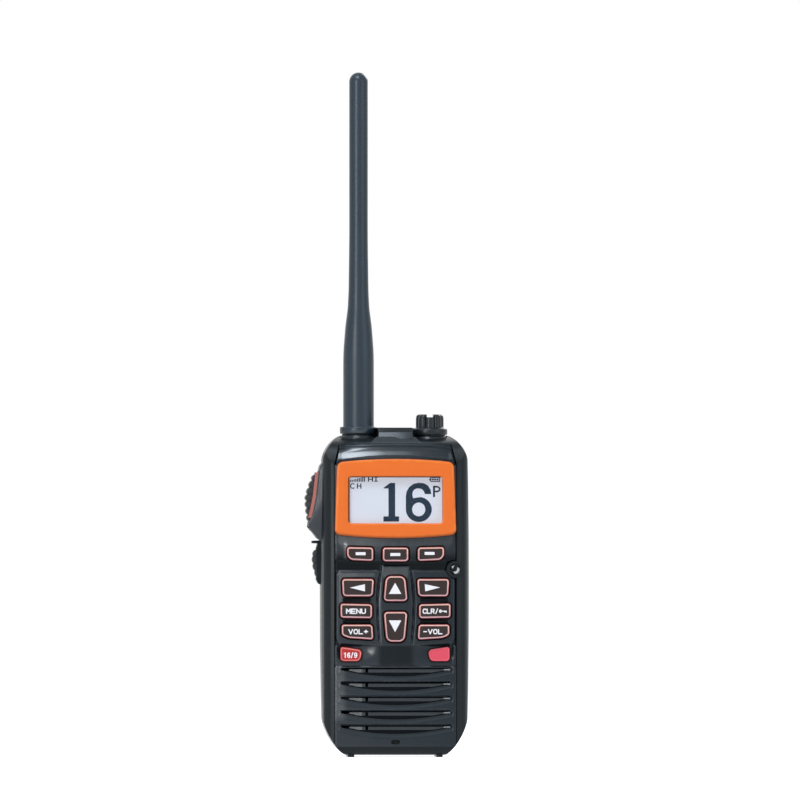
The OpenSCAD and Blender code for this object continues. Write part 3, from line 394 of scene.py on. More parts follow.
# Stage: white studio, a large soft lamp at the upper left, a weaker one at the right
stage = {
    "ambient": 0.17,          # what the world gives to matt surfaces
    "floorColour": paint(236, 236, 236),
    "floorGlow": 0.86,
    "lamps": [                # name, place, target, size, power, colour
        ("keyLamp", (-1.05, -1.75, 0.45), (0, 0, 0.14), 0.75, 12.5, (1, 1, 1)),
        ("topLamp", (-0.26, -0.50, 1.22), (0, 0, 0.13), 0.54, 10.0, (0.86, 0.96, 1.08)),
        ("fillLamp", (1.25, -1.00, 0.45), (0, 0, 0.12), 1.0, 3.6, (0.84, 0.96, 1.10)),
        ("backLamp", (0.7, 1.3, 0.9), (0, 0, 0.12), 0.7, 8.0, (1, 1, 1)),
    ],
    "cameraTarget": (0.0024, 0.0, 0.1487),
    "cameraYaw": -1.6,        # degrees
    "cameraDistance": 10.0,
    "frameHeight": 0.3336,
}


def seenDirectly(made):
    # 1 for the camera and for rays off gloss and through glass, 0 for the light on matt surfaces
    camera, gloss, glass = [made.node("ShaderNodeLightPath", output=ray)
                            for ray in ("Is Camera Ray", "Is Glossy Ray", "Is Transmission Ray")]
    return camera + gloss + glass


def makeStage():
    sky = Finish("studioWhite", shader="ShaderNodeBackground", world=True, Color=(1.0, 1.0, 1.0))
    sky.set(Strength=seenDirectly(sky) * (1 - stage["ambient"]) + stage["ambient"])
    bpy.context.scene.world = sky.made

    for name, place, target, size, power, colour in stage["lamps"]:
        lamp = bpy.data.lights.new(name, "AREA")
        lamp.shape, lamp.size, lamp.energy, lamp.color = "DISK", size, power, colour
        holder = bpy.data.objects.new(name, lamp)
        bpy.context.scene.collection.objects.link(holder)
        holder.location = place
        aim = mathutils.Vector(target) - holder.location
        holder.rotation_euler = aim.to_track_quat("-Z", "Y").to_euler()

    # floor: a disc; the camera sees it a little brighter than lit, so that it joins the white
    matt = Finish("floorMatt", shader="ShaderNodeBsdfDiffuse", Color=stage["floorColour"])
    glow = matt.node("ShaderNodeEmission", {}, {
        "Color": (1.0, 1.0, 1.0), "Strength": seenDirectly(matt) * stage["floorGlow"]})
    matt.show(matt.node("ShaderNodeAddShader", {}, {0: Socket(matt, matt.shader.outputs[0]), 1: glow}))
    angle = np.linspace(0, 2 * math.pi, 97)[:-1]
    floor = solid(np.stack([6000 * np.cos(angle), 6000 * np.sin(angle), 0 * angle], 1), [list(range(96))], "floor")
    floor.data.materials.append(matt.made)

    camera = bpy.data.cameras.new("camera")
    camera.sensor_width = 36
    camera.lens = 36 * stage["cameraDistance"] / stage["frameHeight"]
    camera.clip_end = 100
    holder = bpy.data.objects.new("camera", camera)
    bpy.context.scene.collection.objects.link(holder)
    yaw = math.radians(stage["cameraYaw"])
    target = mathutils.Vector(stage["cameraTarget"])
    holder.location = target - stage["cameraDistance"] * mathutils.Vector((-math.sin(yaw), math.cos(yaw), 0))
    holder.rotation_euler = (math.pi / 2, 0, yaw)
    bpy.context.scene.camera = holder
    bpy.context.scene.view_settings.view_transform = "Standard"


print("stage")
makeStage()


# Moulded plastic: a base colour that drifts slightly, a fine grain, edges painted lighter as wear and as highlight,
# and depths painted darker as shade
def plastic(name, colour, rough, specular, grain=0.00035, depth=0.00002, drift=0.12, marks=True, highlightCoat=False):
    colour = paint(*colour)
    made = Finish(name, Specular_IOR_Level=specular)
    # a clear coat whose weight follows a mesh mark: an even polish, with more coat where a highlight is painted and
    # none where shade is painted
    if highlightCoat:
        made.set(Coat_Weight=made.attribute("gloss"), Coat_Roughness=rough - 0.05, Coat_IOR=1.8)
    cloud = made.noise(0.018, 3)
    fine = made.noise(grain, 3, 0.65)
    tone = cloud * (2 * drift) + (1 - drift)
    low = made.scaled(colour, tone)
    if marks:
        # painted shade: one mark darkens the colour towards 0.22 of it; another lightens it in patches, as wear and as
        # painted highlight
        low = made.blend(made.attribute("deep"), low, tuple(0.22 * c for c in colour))
        worn = made.attribute("worn") * made.noise(0.003, 4).above(0.35, 0.3)
        low = made.blend(worn, low, tuple(min(1.7 * c + 0.012, 1) for c in colour))
    made.set(Base_Color=low, Roughness=fine * 0.14 + cloud * 0.10 + (rough - 0.12))
    made.set(Normal=made.bump(fine, depth, 0.5))
    return made


def metal(name, colour, rough, brushed=(1, 1, 1)):
    made = Finish(name, Metallic=1.0)
    lines = made.noise(0.0008, 4, 0.6, brushed)
    made.set(Base_Color=made.scaled(paint(*colour), lines * 0.3 + 0.85), Roughness=lines * 0.22 + (rough - 0.11))
    made.set(Normal=made.bump(lines, 0.00001, 0.4))
    return made


finishes = {
    "panel": plastic("panelPlastic", (27, 37, 43), 0.28, 0.11, depth=0.000007, highlightCoat=True),
    "case": plastic("casePlastic", (24, 30, 33), 0.33, 0.16, depth=0.000014),
    "battery": plastic("batteryPlastic", (33, 36, 39), 0.50, 0.14, grain=0.0006, depth=0.00005),
    "orange": plastic("orangePlastic", (242, 116, 43), 0.38, 0.25, drift=0.02),
    "whitePlastic": plastic("whitePlastic", (226, 226, 222), 0.5, 0.3, drift=0.02, marks=False),
    "silicone": plastic("siliconeMat", (150, 92, 84), 0.6, 0.25, marks=False),
    "seal": plastic("sealRubber", (24, 25, 26), 0.7, 0.2, marks=False),
    "antenna": plastic("antennaRubber", (40, 52, 62), 0.31, 0.30, grain=0.0005, depth=0.00002, highlightCoat=True),
    "grip": plastic("gripRubber", (46, 46, 45), 0.42, 0.22, grain=0.0004, depth=0.00004),
    "talk": plastic("talkPlastic", (36, 42, 48), 0.27, 0.42, depth=0.000006),
    "collar": plastic("collarPlastic", (34, 40, 46), 0.26, 0.22, depth=0.000006),
    "cap": plastic("capPlastic", (34, 39, 43), 0.30, 0.26),
    "salmon": plastic("salmonPlastic", (200, 122, 112), 0.45, 0.3, drift=0.04),
    "board": plastic("circuitBoard", (24, 78, 52), 0.45, 0.35, marks=False),
    "membrane": plastic("dustMembrane", (22, 27, 31), 0.8, 0.08, grain=0.0003, depth=0.00008, marks=False),
    "paper": plastic("speakerPaper", (46, 44, 42), 0.8, 0.15, grain=0.0008, depth=0.0001, marks=False),
    "cells": plastic("cellFoil", (58, 98, 132), 0.35, 0.4, marks=False),
    "domes": metal("domeMetal", (200, 196, 188), 0.30),
    "tin": metal("tinnedSteel", (188, 190, 192), 0.34, (1, 1, 0.15)),
    "cast": metal("dieCast", (150, 152, 154), 0.5),
    "steel": metal("screwSteel", (176, 178, 180), 0.28, (1, 0.2, 1)),
    "spring": metal("springSteel", (160, 162, 165), 0.25),
    "brass": metal("brass", (214, 178, 96), 0.25),
}


def twoTone(name, *colours):
    # moulded key: a dark face, a coloured rim painted lighter at its head and duller towards its foot as light falls
    # from above, and a flank painted dark red-brown as the shade in the gap round the key, by the marks of its mesh
    face, rim, low, flank = (paint(*colour) for colour in colours)
    made = Finish(name, Specular_IOR_Level=0.28)
    cloud = made.noise(0.006, 3)
    fine = made.noise(0.0003, 3, 0.65)
    tone = cloud * 0.16 + 0.92
    edge = made.blend(made.attribute("foot"), rim, low)
    colour = made.blend(made.attribute("rim"), made.scaled(face, tone), made.scaled(edge, tone))
    colour = made.blend(made.attribute("flank"), colour, flank)
    made.set(Base_Color=colour, Roughness=fine * 0.14 + 0.43, Normal=made.bump(fine, 0.000015, 0.5))
    return made


finishes.update({
    "key": twoTone("keyRubber", (40, 27, 25), (255, 198, 184), (216, 168, 170), (112, 22, 20)),
    "redKey": twoTone("redKey", (190, 48, 48), (244, 140, 130), (222, 118, 114), (116, 14, 16)),
    "pinkKey": twoTone("pinkKey", (230, 82, 100), (232, 98, 110), (228, 92, 106), (80, 10, 18)),
    "louver": plastic("louverPlastic", (33, 43, 49), 0.25, 0.50, depth=0.000005, marks=False),
    # the display film glows faintly: partly a backlight's glow and partly painted light that makes up for the shade of
    # the frame and the window
    "lcd": plastic("lcdFilm", (232, 235, 242), 0.6, 0.2, grain=0.0002, depth=0.000002, drift=0.015,
                   marks=False).set(Emission_Color=(0.80, 0.86, 1.0, 1.0), Emission_Strength=0.135),
    "ink": plastic("lcdSegments", (38, 56, 74), 0.6, 0.2, drift=0.05, marks=False),
    "legend": plastic("legendWhite", (250, 247, 247), 0.5, 0.3, drift=0.01, marks=False),
    "glass": plastic("clearWindow", (20, 22, 24), 0.16, 0.5, drift=0.01, marks=False).set(Alpha=0.06),
    "dome": plastic("strobeClear", (40, 43, 45), 0.13, 0.6, drift=0.05, marks=False).set(Alpha=0.22),
    "mirror": metal("strobeMirror", (214, 216, 218), 0.30),
    "led": plastic("ledLens", (150, 146, 120), 0.3, 0.4, marks=False),
    "blackened": metal("blackenedSteel", (44, 45, 47), 0.5),
})


# solids of the CAD that stay as they are, by finish
carriedOver = {
    "whitePlastic": ["lcd_backlight"], "silicone": ["keypad_mat"],
    "seal": ["case_gasket", "antenna_o_ring", "jack_cap_o_ring", "mic_seal"],
    "board": ["main_board"], "membrane": ["speaker_membrane"], "paper": ["speaker_cone"],
    "cells": ["battery_cells"], "domes": ["dome_sheet"], "tin": ["shield_can", "ptt_switch", "side_switch"],
    "blackened": ["microphone"], "led": ["strobe_led"],
    "cast": ["heat_spreader", "speaker_frame", "speaker_magnet"],
    "steel": ["case_screws", "bracket_screws", "clip_pin"],
    "spring": ["latch_spring", "clip_spring"],
    "brass": ["antenna_core", "antenna_plug", "battery_terminals", "radio_contacts"],
}
for finish, names in carriedOver.items():
    for name in names:
        coats = nodes[name].data.materials
        coats.clear()
        coats.append(finishes[finish].made)


# Case parts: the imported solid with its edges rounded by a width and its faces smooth
casting = {
    "rear_case": ("case", 0.45), "battery_case": ("battery", 0.4), "battery_cover": ("battery", 0.4),
    "belt_clip": ("battery", 0.5), "clip_bracket": ("battery", 0.3), "battery_latch": ("battery", 0.3),
    "strobe_ring": ("case", 0.3), "ptt_trim": ("salmon", 0.12),
}
# boxes cut off those copies, [low, high]: the bar that joins the foot rails, on which the base mount lies,
# the ridge's toe, the stripe's foot, and a pocket in the latch for the spring that shortens under it
cutOff = {
    "rear_case": [((-17.05, -2.7, -1), (17.05, 2.7, 0.93)), ((-9.7, -14, 131.0), (9.7, -11.2, 134.5))],
    "ptt_trim": [((-40, -12, 90), (-25, 12, 99.6))],
    "battery_latch": [((-1.4, 14.40, 83.50), (1.4, 17.20, 85.90))],
}


def roundedCopy(name, finish, width):
    source = nodes[name]
    piece = source.copy()
    piece.data = source.data.copy()
    piece.name = name + "_moulded"
    piece.parent = None
    for key in list(piece.keys()):
        del piece[key]
    bpy.context.scene.collection.objects.link(piece)
    work = bmesh.new()
    work.from_mesh(piece.data)
    bmesh.ops.remove_doubles(work, verts=work.verts, dist=2e-6)
    if name in cutOff:
        points = np.array([v.co[:] for v in work.verts]) / mm
        faces = [[v.index for v in f.verts] for f in work.faces]
        points, faces = carve(points, faces, [boxSolid(*box) for box in cutOff[name]])
        piece.data.clear_geometry()
        piece.data.from_pydata((points * mm).tolist(), [], faces)
        work.clear()
        work.from_mesh(piece.data)
    bmesh.ops.dissolve_limit(work, angle_limit=math.radians(2), verts=work.verts, edges=work.edges)
    work.to_mesh(piece.data)
    work.free()
    piece.data.shade_smooth()
    piece.data.set_sharp_from_angle(angle=math.radians(35))
    bevel = piece.modifiers.new("edges", "BEVEL")
    bevel.width, bevel.segments, bevel.limit_method = width * mm, 2, "ANGLE"
    bevel.angle_limit = math.radians(35)
    bevel.use_clamp_overlap = True
    piece.data.materials.clear()
    piece.data.materials.append(finishes[finish].made)
    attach(piece, source["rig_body"])
    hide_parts(name)


print("case")
for name, (finish, width) in casting.items():
    roundedCopy(name, finish, width)


# Front panel: a surface over the side profile, pushed in by a relief, with the holes carved through it
panel = {
    "halfWidth": 25.45, "footZ": 4.3, "backY": -13.0, "columnStep": 0.34, "rowStep": 0.34,
    "hiddenStep": 3.0, "hidden": (95.5, 118.5),
    "valleyDepth": 0.75, "shelf": (37.6, 38.6, 46.0, 46.9), "keyGap": 0.3, "keyChamfer": 0.32,
    "slotTops": [37.2 - 5.97 * row for row in range(5)], "slotHalf": 22.8, "slotEnd": 1.0, "slotBow": 2.6,
    "mic": (0, 6.3, 3.2, 1.4, 0.65), "cutY": (-16, -21),
    "grooveX": 16.1, "grooveHalf": 5.8, "grooveFace": -18.05, "grooves": ((64.75, 66.2), (55.85, 57.2)),
    "cornerX": 23.8, "corner": (7, 8, 2.2),    # width, depth and power of the case's corner in plan
    "leanFrom": 122, "leanOver": 12, "leanBy": 2.9, "headFade": (130.9, 130.0),
    "taperX": 20.65, "taperWide": 9.5, "taperZ": 15.9, "taperHigh": 15, "taperPower": 1.4,
    "ticks": (-14.2, -0.1, 14.1), "tickWidth": 0.16,
    "hollow": [[-23.9, 6.5, 3], [23.9, 6.5, 3], [23.9, 121.0, 3], [-23.9, 121.0, 3]],
}
brow = {"foot": 123.0, "footBow": 1.2, "footHalf": 23.0, "crease": 129.2, "creaseBow": 1.7, "creaseHalf": 24}
strobe = {"at": (24.85, 78.2), "seatRadius": 3.55, "lensRadius": 2.2, "lensY": -19.2, "lensRise": 1.1}
# side of the case, anticlockwise from its lower front corner: y, z, radius
sideProfile = [[-19, 0.9, 4.5], [19, 0.9, 3], [19, 132.8, 6], [4, 134.2, 20],
               [-6, 132.4, 14], [-14.5, 131.0, 9], [-19, 122, 9]]
# key: x, z, width and height of the left one of a pair
keySizes = {
    "soft": [14.75, 84.6, 11.3, 6.2], "centre": [0, 84.4, 11, 6.1], "arrow": [15.65, 70.6, 13.7, 7.6],
    "menu": [16.35, 60.9, 13.5, 6.5], "volume": [15.82, 51.95, 13.55, 6.9], "corner": [18.3, 43.0, 9.6, 6.4],
    "up": [0, 70.2, 10.5, 10.8], "down": [0, 54.3, 10.3, 12.8],
}


def keyOutline(name, side):
    # anticlockwise outline at its place; the shapes are those of the left side
    middleX, middleZ, width, height = keySizes[name]
    x, z = width / 2, height / 2
    corners = {
        "soft": [[-x, -z + 0.5, 3], [x, -z, 1.3], [x, z - 0.2, 1.5], [-x, z, 1.3]],
        "volume": [[-x, -z + 2.2, 2], [-x + 3.2, -z + 0.95, 6], [x, -z + 0.3, 1.2], [x - 0.4, z, 1.6],
                   [-x, z, 1.2]],
        "arrow": [[-x + 0.4, -z, 1.7], [x - 0.5, -z, 1.9], [x, z, 1.3], [-x, z, 1.4]],
        "menu": [[-x, -z + 0.25, 1.4], [x, -z, 1.5], [x, z - 0.3, 1.5], [-x, z, 1.2]],
        "up": [[-x, -z, 1.7], [x, -z, 1.7], [x - 1.1, z, 2.7], [-x + 1.1, z, 2.7]],
        "down": [[-x + 1.2, -z, 2.7], [x - 1.2, -z, 2.7], [x, z, 1.7], [-x, z, 1.7]],
        "corner": [[-x, -z, 1.6], [x - 1.2, -z, 2.2], [x, z - 1.4, 2], [-x, z, 1.1]],
    }.get(name, [[-x, -z, 1.5], [x, -z, 1.5], [x, z, 1.3], [-x, z, 1.3]])
    outline = roundedOutline(corners, 7)
    if side > 0:
        outline = outline[::-1] * [-1, 1]
    return outline + [side * middleX - (0.4 if name == "corner" and side > 0 else 0), middleZ]


keys = {  # node: (shape, side)
    "soft_key_left": ("soft", -1), "soft_key_centre": ("centre", -1), "soft_key_right": ("soft", 1),
    "left_key": ("arrow", -1), "right_key": ("arrow", 1), "up_key": ("up", -1), "down_key": ("down", -1),
    "menu_key": ("menu", -1), "clear_key": ("menu", 1), "volume_up_key": ("volume", -1),
    "volume_down_key": ("volume", 1), "channel_16_key": ("corner", -1), "power_key": ("corner", 1),
}


def bezelFoot(x):
    # z of the display frame's foot, which bows by 1.35
    return 92.5 - 1.35 * (1 - np.minimum(x / 23.9, 1) ** 2)


def bezelOutline(out=0.0):
    # foot and head bow, and the sides lean in towards the head
    t = np.linspace(-0.86, 0.86, 29)
    foot = np.stack([t * 23.9, bezelFoot(t * 23.9)], 1)
    head = np.stack([t * brow["footHalf"], brow["foot"] + brow["footBow"] * (1 - t * t)], 1)[::-1]
    lowRight, highRight = np.array([25.35, 92.65]), np.array([24.35, 122.8])
    right = np.concatenate([fillet(foot[-1], lowRight, highRight, 2.4, 8),
                            fillet(lowRight, highRight, head[0], 2.7, 8)])
    left = (right * [-1, 1])[::-1]
    return offsetLoop(np.concatenate([foot[1:-1], right, head[1:-1], left]), out)


def frontPath():
    # side profile from the head of the panel down to its foot, as [y, z] with its outward normal
    steps = 16
    outline = roundedOutline(sideProfile, steps)
    line = np.concatenate([outline[5 * (steps + 1):], outline[:steps + 1]])
    line = line[np.argmax(line[:, 0] < panel["backY"] - 0.05) - 1:]
    cut = (panel["backY"] - 0.05 - line[0, 0]) / (line[1, 0] - line[0, 0])
    line[0] += (line[1] - line[0]) * cut
    last = np.argmax(line[:, 1] < panel["footZ"])
    cut = (panel["footZ"] - line[last - 1, 1]) / (line[last, 1] - line[last - 1, 1])
    line[last] = line[last - 1] + (line[last] - line[last - 1]) * cut
    line = densify(line[:last + 1], 0.05, closed=False)
    # rows lie close where there is relief, and far apart under the display
    gap = np.where((line[:, 1] > panel["hidden"][0]) & (line[:, 1] < panel["hidden"][1]),
                   panel["hiddenStep"], panel["rowStep"])
    count = np.concatenate([[0], np.cumsum(0.05 / gap[1:])])
    rows = np.linspace(0, count[-1], int(round(count[-1])) + 1)
    y, z = (np.interp(rows, count, line[:, i]) for i in (0, 1))
    dy, dz = np.gradient(y), np.gradient(z)
    length = np.hypot(dy, dz)
    return y, z, dz / length, -dy / length


def frontY(z):
    # y of the case's front at a height
    y, height, _, _ = frontPath()
    return np.interp(z, height[::-1], y[::-1])


def slotFoot(top, t):
    # z of a speaker slot's foot, which bows down: t is -1 to 1 from its left end to its right end
    return top - panel["slotEnd"] - panel["slotBow"] * (1 - t * t)


def slotOutline(top):
    # straight head, bowed foot, and small round corners
    t = np.linspace(-1, 1, 40)
    half, end = panel["slotHalf"], panel["slotEnd"]
    low = np.stack([t * (half - 0.35), slotFoot(top, t)], 1)
    right = [[half - 0.08, top - end + 0.25], [half, top - 0.5 * end], [half - 0.1, top - 0.15],
             [half - 0.35, top]]
    return np.concatenate([low, right, [[-x, z] for x, z in right[::-1]]])


def valleyAt(x, z):
    # 0 on the plates round the keys, 1 in the valley between them
    side = np.abs(x)
    centre = np.array([[-5.4, 79.3], [-6.3, 71.5], [-6.9, 63], [-6.5, 55], [-5.9, 46.5], [-5.4, 40],
                       [5.4, 40], [5.9, 46.5], [6.5, 55], [6.9, 63], [6.3, 71.5], [5.4, 79.3]])
    plates = np.array([[7.1, 77.4], [8.1, 71.5], [8.5, 64], [8.1, 55], [7.3, 46.6], [23.2, 47.6], [24.3, 50],
                       [24.3, 76], [23.3, 77.3]])
    toCentre, toPlate = distanceTo(centre, x, z), distanceTo(plates[::-1], side, z)
    return ease(-0.25, 0.95, np.minimum(toCentre, toPlate)) * ease(82.1, 80.9, z) * ease(37.2, 38.4, z)


def cornerTurn(x):
    # how far the case's corner lies back: depth (1 - (1 - t^power)^(1/power)), t from 0 to 1 over its width
    width, depth, power = panel["corner"]
    return depth * (1 - (1 - np.clip((np.abs(x) - panel["cornerX"]) / width, 0, 1) ** power) ** (1 / power))


def panelHalf(z):
    # half the panel's width, which narrows over the display
    return panel["halfWidth"] - panel["leanBy"] * np.clip((z - panel["leanFrom"]) / panel["leanOver"], 0, 1)


def shelfAt(z):
    # 1 on the flat part under the plates
    return band(z, *panel["shelf"])


def browCrease(x):
    # z of the bowed crease in the brow over the display
    return brow["crease"] - brow["creaseBow"] * np.minimum(x / brow["creaseHalf"], 1) ** 2


def relief(x, z):
    # how far the panel is pushed in at x, z, in millimetres
    side = np.abs(x)
    depth = panel["valleyDepth"] * valleyAt(x, z)
    # below the plates: flat again beside the corner keys, falling towards the middle
    shelf = shelfAt(z)
    fall = (0.25 + 0.8 * ease(40.4, 44.6, z)) * ease(7.0, 12.8, side) * ease(24.6, 23.4, side)
    depth = depth * (1 - shelf) + shelf * (0.1 + fall)
    # strip under the display slopes out to the soft keys, with a short cheek at each end
    under = bezelFoot(x) - z
    strip = np.clip((3.5 - under) / 3.0, 0, 1) * (under > -1)
    cheek = ease(19.2, 22.2, side) * ease(80, 84, z) * ease(93, 90, z)
    depth = depth + 0.8 * strip + 0.5 * cheek * (1 - strip)
    tick = sum(np.exp(-((x - at) / panel["tickWidth"]) ** 2) for at in panel["ticks"])
    depth = depth + 0.10 * tick * ease(3.4, 2.8, under) * (under > 0)
    # brow over the display leans back up to the crease, and falls back to both sides
    foot = brow["foot"] + brow["footBow"] * (1 - np.minimum(side / brow["footHalf"], 1) ** 2)
    crease = browCrease(side)
    up = np.clip((z - foot - 1.4) / (crease - foot - 1.4), 0, 1)
    lean = 0.15 + 0.45 * up + 1.3 * np.clip((side - 4) / 18, 0, 1) ** 2
    depth = depth + lean * ease(crease + 4.5, crease - 0.3, z) * (z > foot - 1)
    depth = depth + 0.7 * ease(1.6, 0.2, z - foot) * (z > foot - 1)
    # each speaker bar is rounded under the slot above it, and at the slot's ends
    for top in panel["slotTops"]:
        t = np.clip(side / panel["slotHalf"], 0, 1)
        below = np.maximum(slotFoot(top, t) - z, 0)
        above = np.maximum(z - top, 0)
        end = np.maximum(side - panel["slotHalf"], 0)
        depth = depth + 0.75 * ease(2.3, 0.0, np.hypot(below, 1.6 * end)) * ease(0.5, 0.0, above)
    # edges of the panel and of the strobe's seat
    depth = depth + 0.35 * ease(-0.55, 0, side - panelHalf(z))
    return depth + 0.4 * ease(4.6, 3.6, np.hypot(x - strobe["at"][0], z - strobe["at"][1]))


def polishAndHighlightAt(x, z):
    # painted highlight over an even polish: how much clear coat the panel gets, most where it catches the light,
    # nothing in the valleys
    side, left = np.abs(x), ease(-1, 1, -x)
    base = 0.36 - 0.006 * x + 0.1 * band(z, 80, 84, 96, 100)
    # the strip under the display, fading downwards and to the right
    under = bezelFoot(x) - z
    edge = 24.6 - 0.145 * np.maximum(under - 2, 0) ** 2
    strip = ease(0.1, 0.5, under) * (1 - 0.5 * ease(3.0, 4.2, under) - 0.5 * ease(4.2, 7.0, under))
    strip = strip * ease(edge, edge - 1.2, side) * (0.95 - 0.5 * ease(-18, 2, x))
    # head and left side of the left plate, head and left side of the spine, patch over the red key
    leftPlate = band(x, -24.0, -23.2, -9.2, -8.2) * np.maximum(
        band(z, 74.4, 75.6, 76.4, 77.0) * (1 - 0.5 * ease(-22, -12, x)),
        ease(-21.8, -22.8, x) * ease(55, 70, z) * ease(77.2, 76.6, z))
    spine = ease(5.6, 5.0, side) * band(z, 74.0, 75.6, 79.0, 79.4)
    spine = spine + band(x, -7.1, -6.7, -6.2, -5.7) * band(z, 44, 50, 72, 76)
    patch = ease(-7.9, -9.6, x + 0.7 * (44.5 - z)) * ease(-14, -13, x) * band(z, 39.4, 42.2, 44.9, 45.9)
    # brow: brighter up to the crease and duller over it; speaker bars: their left ends
    crease = browCrease(x)
    upper = ease(124.2, 124.8, z) * ease(crease + 0.4, crease - 0.2, z) * (0.5 * ease(4, -18, x) + 0.14)
    upper = upper - 0.34 * ease(crease - 0.2, crease + 0.5, z) * (1 + 0.4 * ease(0, -15, x))
    bars = 0.7 * ease(-19.5, -22.5, x) * band(z, 14, 17, 37.5, 38.5)
    total = base + 1.2 * strip + 1.5 * leftPlate * left + 0.8 * spine + 0.45 * patch * left + upper + bars
    return np.clip(0.49 * np.clip(total, 0, 1) + 0.85 * np.clip(total - 1, 0, 0.6), 0, 1)


def makeFrontPanel():
    y, z, normalY, normalZ = frontPath()
    columns = int(2 * panel["halfWidth"] / panel["columnStep"])
    u = np.linspace(-1, 1, columns)
    # the case narrows at the foot: half width = x + wide (1 - t^power)^(1/power), t = (z of taper - z) / high
    t, power = np.clip((panel["taperZ"] - z) / panel["taperHigh"], 0, 1), panel["taperPower"]
    narrow = panel["taperX"] + panel["taperWide"] * (1 - t ** power) ** (1 / power)
    half = np.minimum(panelHalf(z), narrow - 0.02)
    x = half[:, None] * u
    push = relief(x, z[:, None] * np.ones_like(x))
    push = push * (ease(panel["footZ"], panel["footZ"] + 0.8, z)[:, None] * ease(*panel["headFade"], z)[:, None])
    points = np.stack([x, y[:, None] + cornerTurn(x) - push * normalY[:, None],
                       z[:, None] - push * normalZ[:, None] + 0 * x], -1)
    rows = len(z)
    front = np.arange(rows * columns).reshape(rows, columns)
    loop = np.concatenate([front[0, :-1], front[:-1, -1], front[-1, :0:-1], front[:0:-1, 0]])
    flat = points.reshape(-1, 3)
    back = flat[loop].copy()
    back[:, 1] = panel["backY"]
    backLoop = np.arange(len(loop)) + len(flat)
    wall = np.stack([loop, np.roll(loop, -1), np.roll(backLoop, -1), backLoop], 1)
    faces = gridFaces(rows, columns).tolist() + wall.tolist() + [backLoop.tolist()]
    points = np.concatenate([flat, back])

    gap, wide = panel["keyGap"], panel["keyGap"] + panel["keyChamfer"]
    inside, outside = panel["cutY"]
    holes = [flaredPrism(keyOutline(shape, side), [(inside, gap), (-18.75, gap), (-19.05, wide), (-21.5, wide)])
             for shape, side in keys.values()]
    holes += [prism(slotOutline(top), inside, outside) for top in panel["slotTops"]]
    holes.append(flaredPrism(roundedRect(*panel["mic"]), [(inside, 0), (-18.7, 0), (-19.1, 0.3), (outside, 0.3)]))
    holes.append(prism(bezelOutline(-0.95), inside, outside))
    seat = ellipse(*strobe["at"], strobe["seatRadius"], strobe["seatRadius"], steps=48)
    holes.append(prism(seat, -12, outside))
    at, far, face = panel["grooveX"], panel["grooveHalf"], panel["grooveFace"]
    grooves = [roundBox((side * at - far, face, low), (side * at + far, outside, high), 0.3)
               for side in (-1, 1) for low, high in panel["grooves"]]
    hollow = prism(roundedOutline(panel["hollow"]), -17, -12)
    points, faces = carve(points, faces, [joined(*holes), joined(*grooves), hollow])

    # painted shade darkens the holes, the valley, the middle of the shelf and the band under the soft keys; a crest,
    # where the relief round a point lies deeper, is painted lighter as rubbed wear and as a highlight
    x, z = points[:, 0], points[:, 2]
    push = relief(x, z)
    hole = ease(0.15, 1.0, points[:, 1] - frontY(z) - cornerTurn(x) - push)
    shelf = shelfAt(z)
    middle = 0.65 * ease(-8, -5.6, x) * ease(8.8, 5.8, x) * shelf
    under = ease(86.5, 82.0, z) * ease(77.0, 78.0, z) * (1 - ease(5.9, 5.4, np.abs(x)) * ease(79.6, 79.3, z))
    deep = np.maximum(hole, 0.9 * ease(0.5, 1.0, valleyAt(x, z)) * (1 - shelf) + middle)
    deep = np.maximum(deep, 0.85 * under * (push > 0.1) + 0.6 * under * (push <= 0.1))
    around = sum(relief(x + 0.4 * i, z + 0.4 * j) for i, j in ((1, 0), (-1, 0), (0, 1), (0, -1))) / 4
    worn = np.clip((around - push) / 0.10, 0, 1) * (1 - hole) * ease(24.8, 24.2, np.abs(x))
    worn = worn * (1 - 0.8 * ease(79, 81, z) * ease(14, 16, np.abs(x)) * ease(96, 94, z))
    # the coat follows the painted highlight mask less the painted shade, and where the coat is strong the colour is
    # painted lighter too
    gloss = polishAndHighlightAt(x, z) * (1 - np.clip(deep * 1.15, 0, 1))
    lit = np.clip(2 * (gloss - 0.25), 0, 0.5)
    makePiece("front_panel", (points, faces), "panel", replaces="front_case", sharp=40,
              marks={"deep": deep, "worn": np.maximum(worn * 0.7, lit), "gloss": gloss})


print("front panel")
makeFrontPanel()


# Louvers: behind each slot a slanting ledge in two lengths, a rib, and dark cloth
louver = {
    "steps": 81, "break": 19, "faceY": -17.95, "backY": -16.6, "in": (-0.60, 0.30), "out": (0.86, 0.14),
    "clothY": (-17.5, -16.7), "rib": [(12.7, -18.5, -1.9), (13.2, -17.05, -0.9)],
}


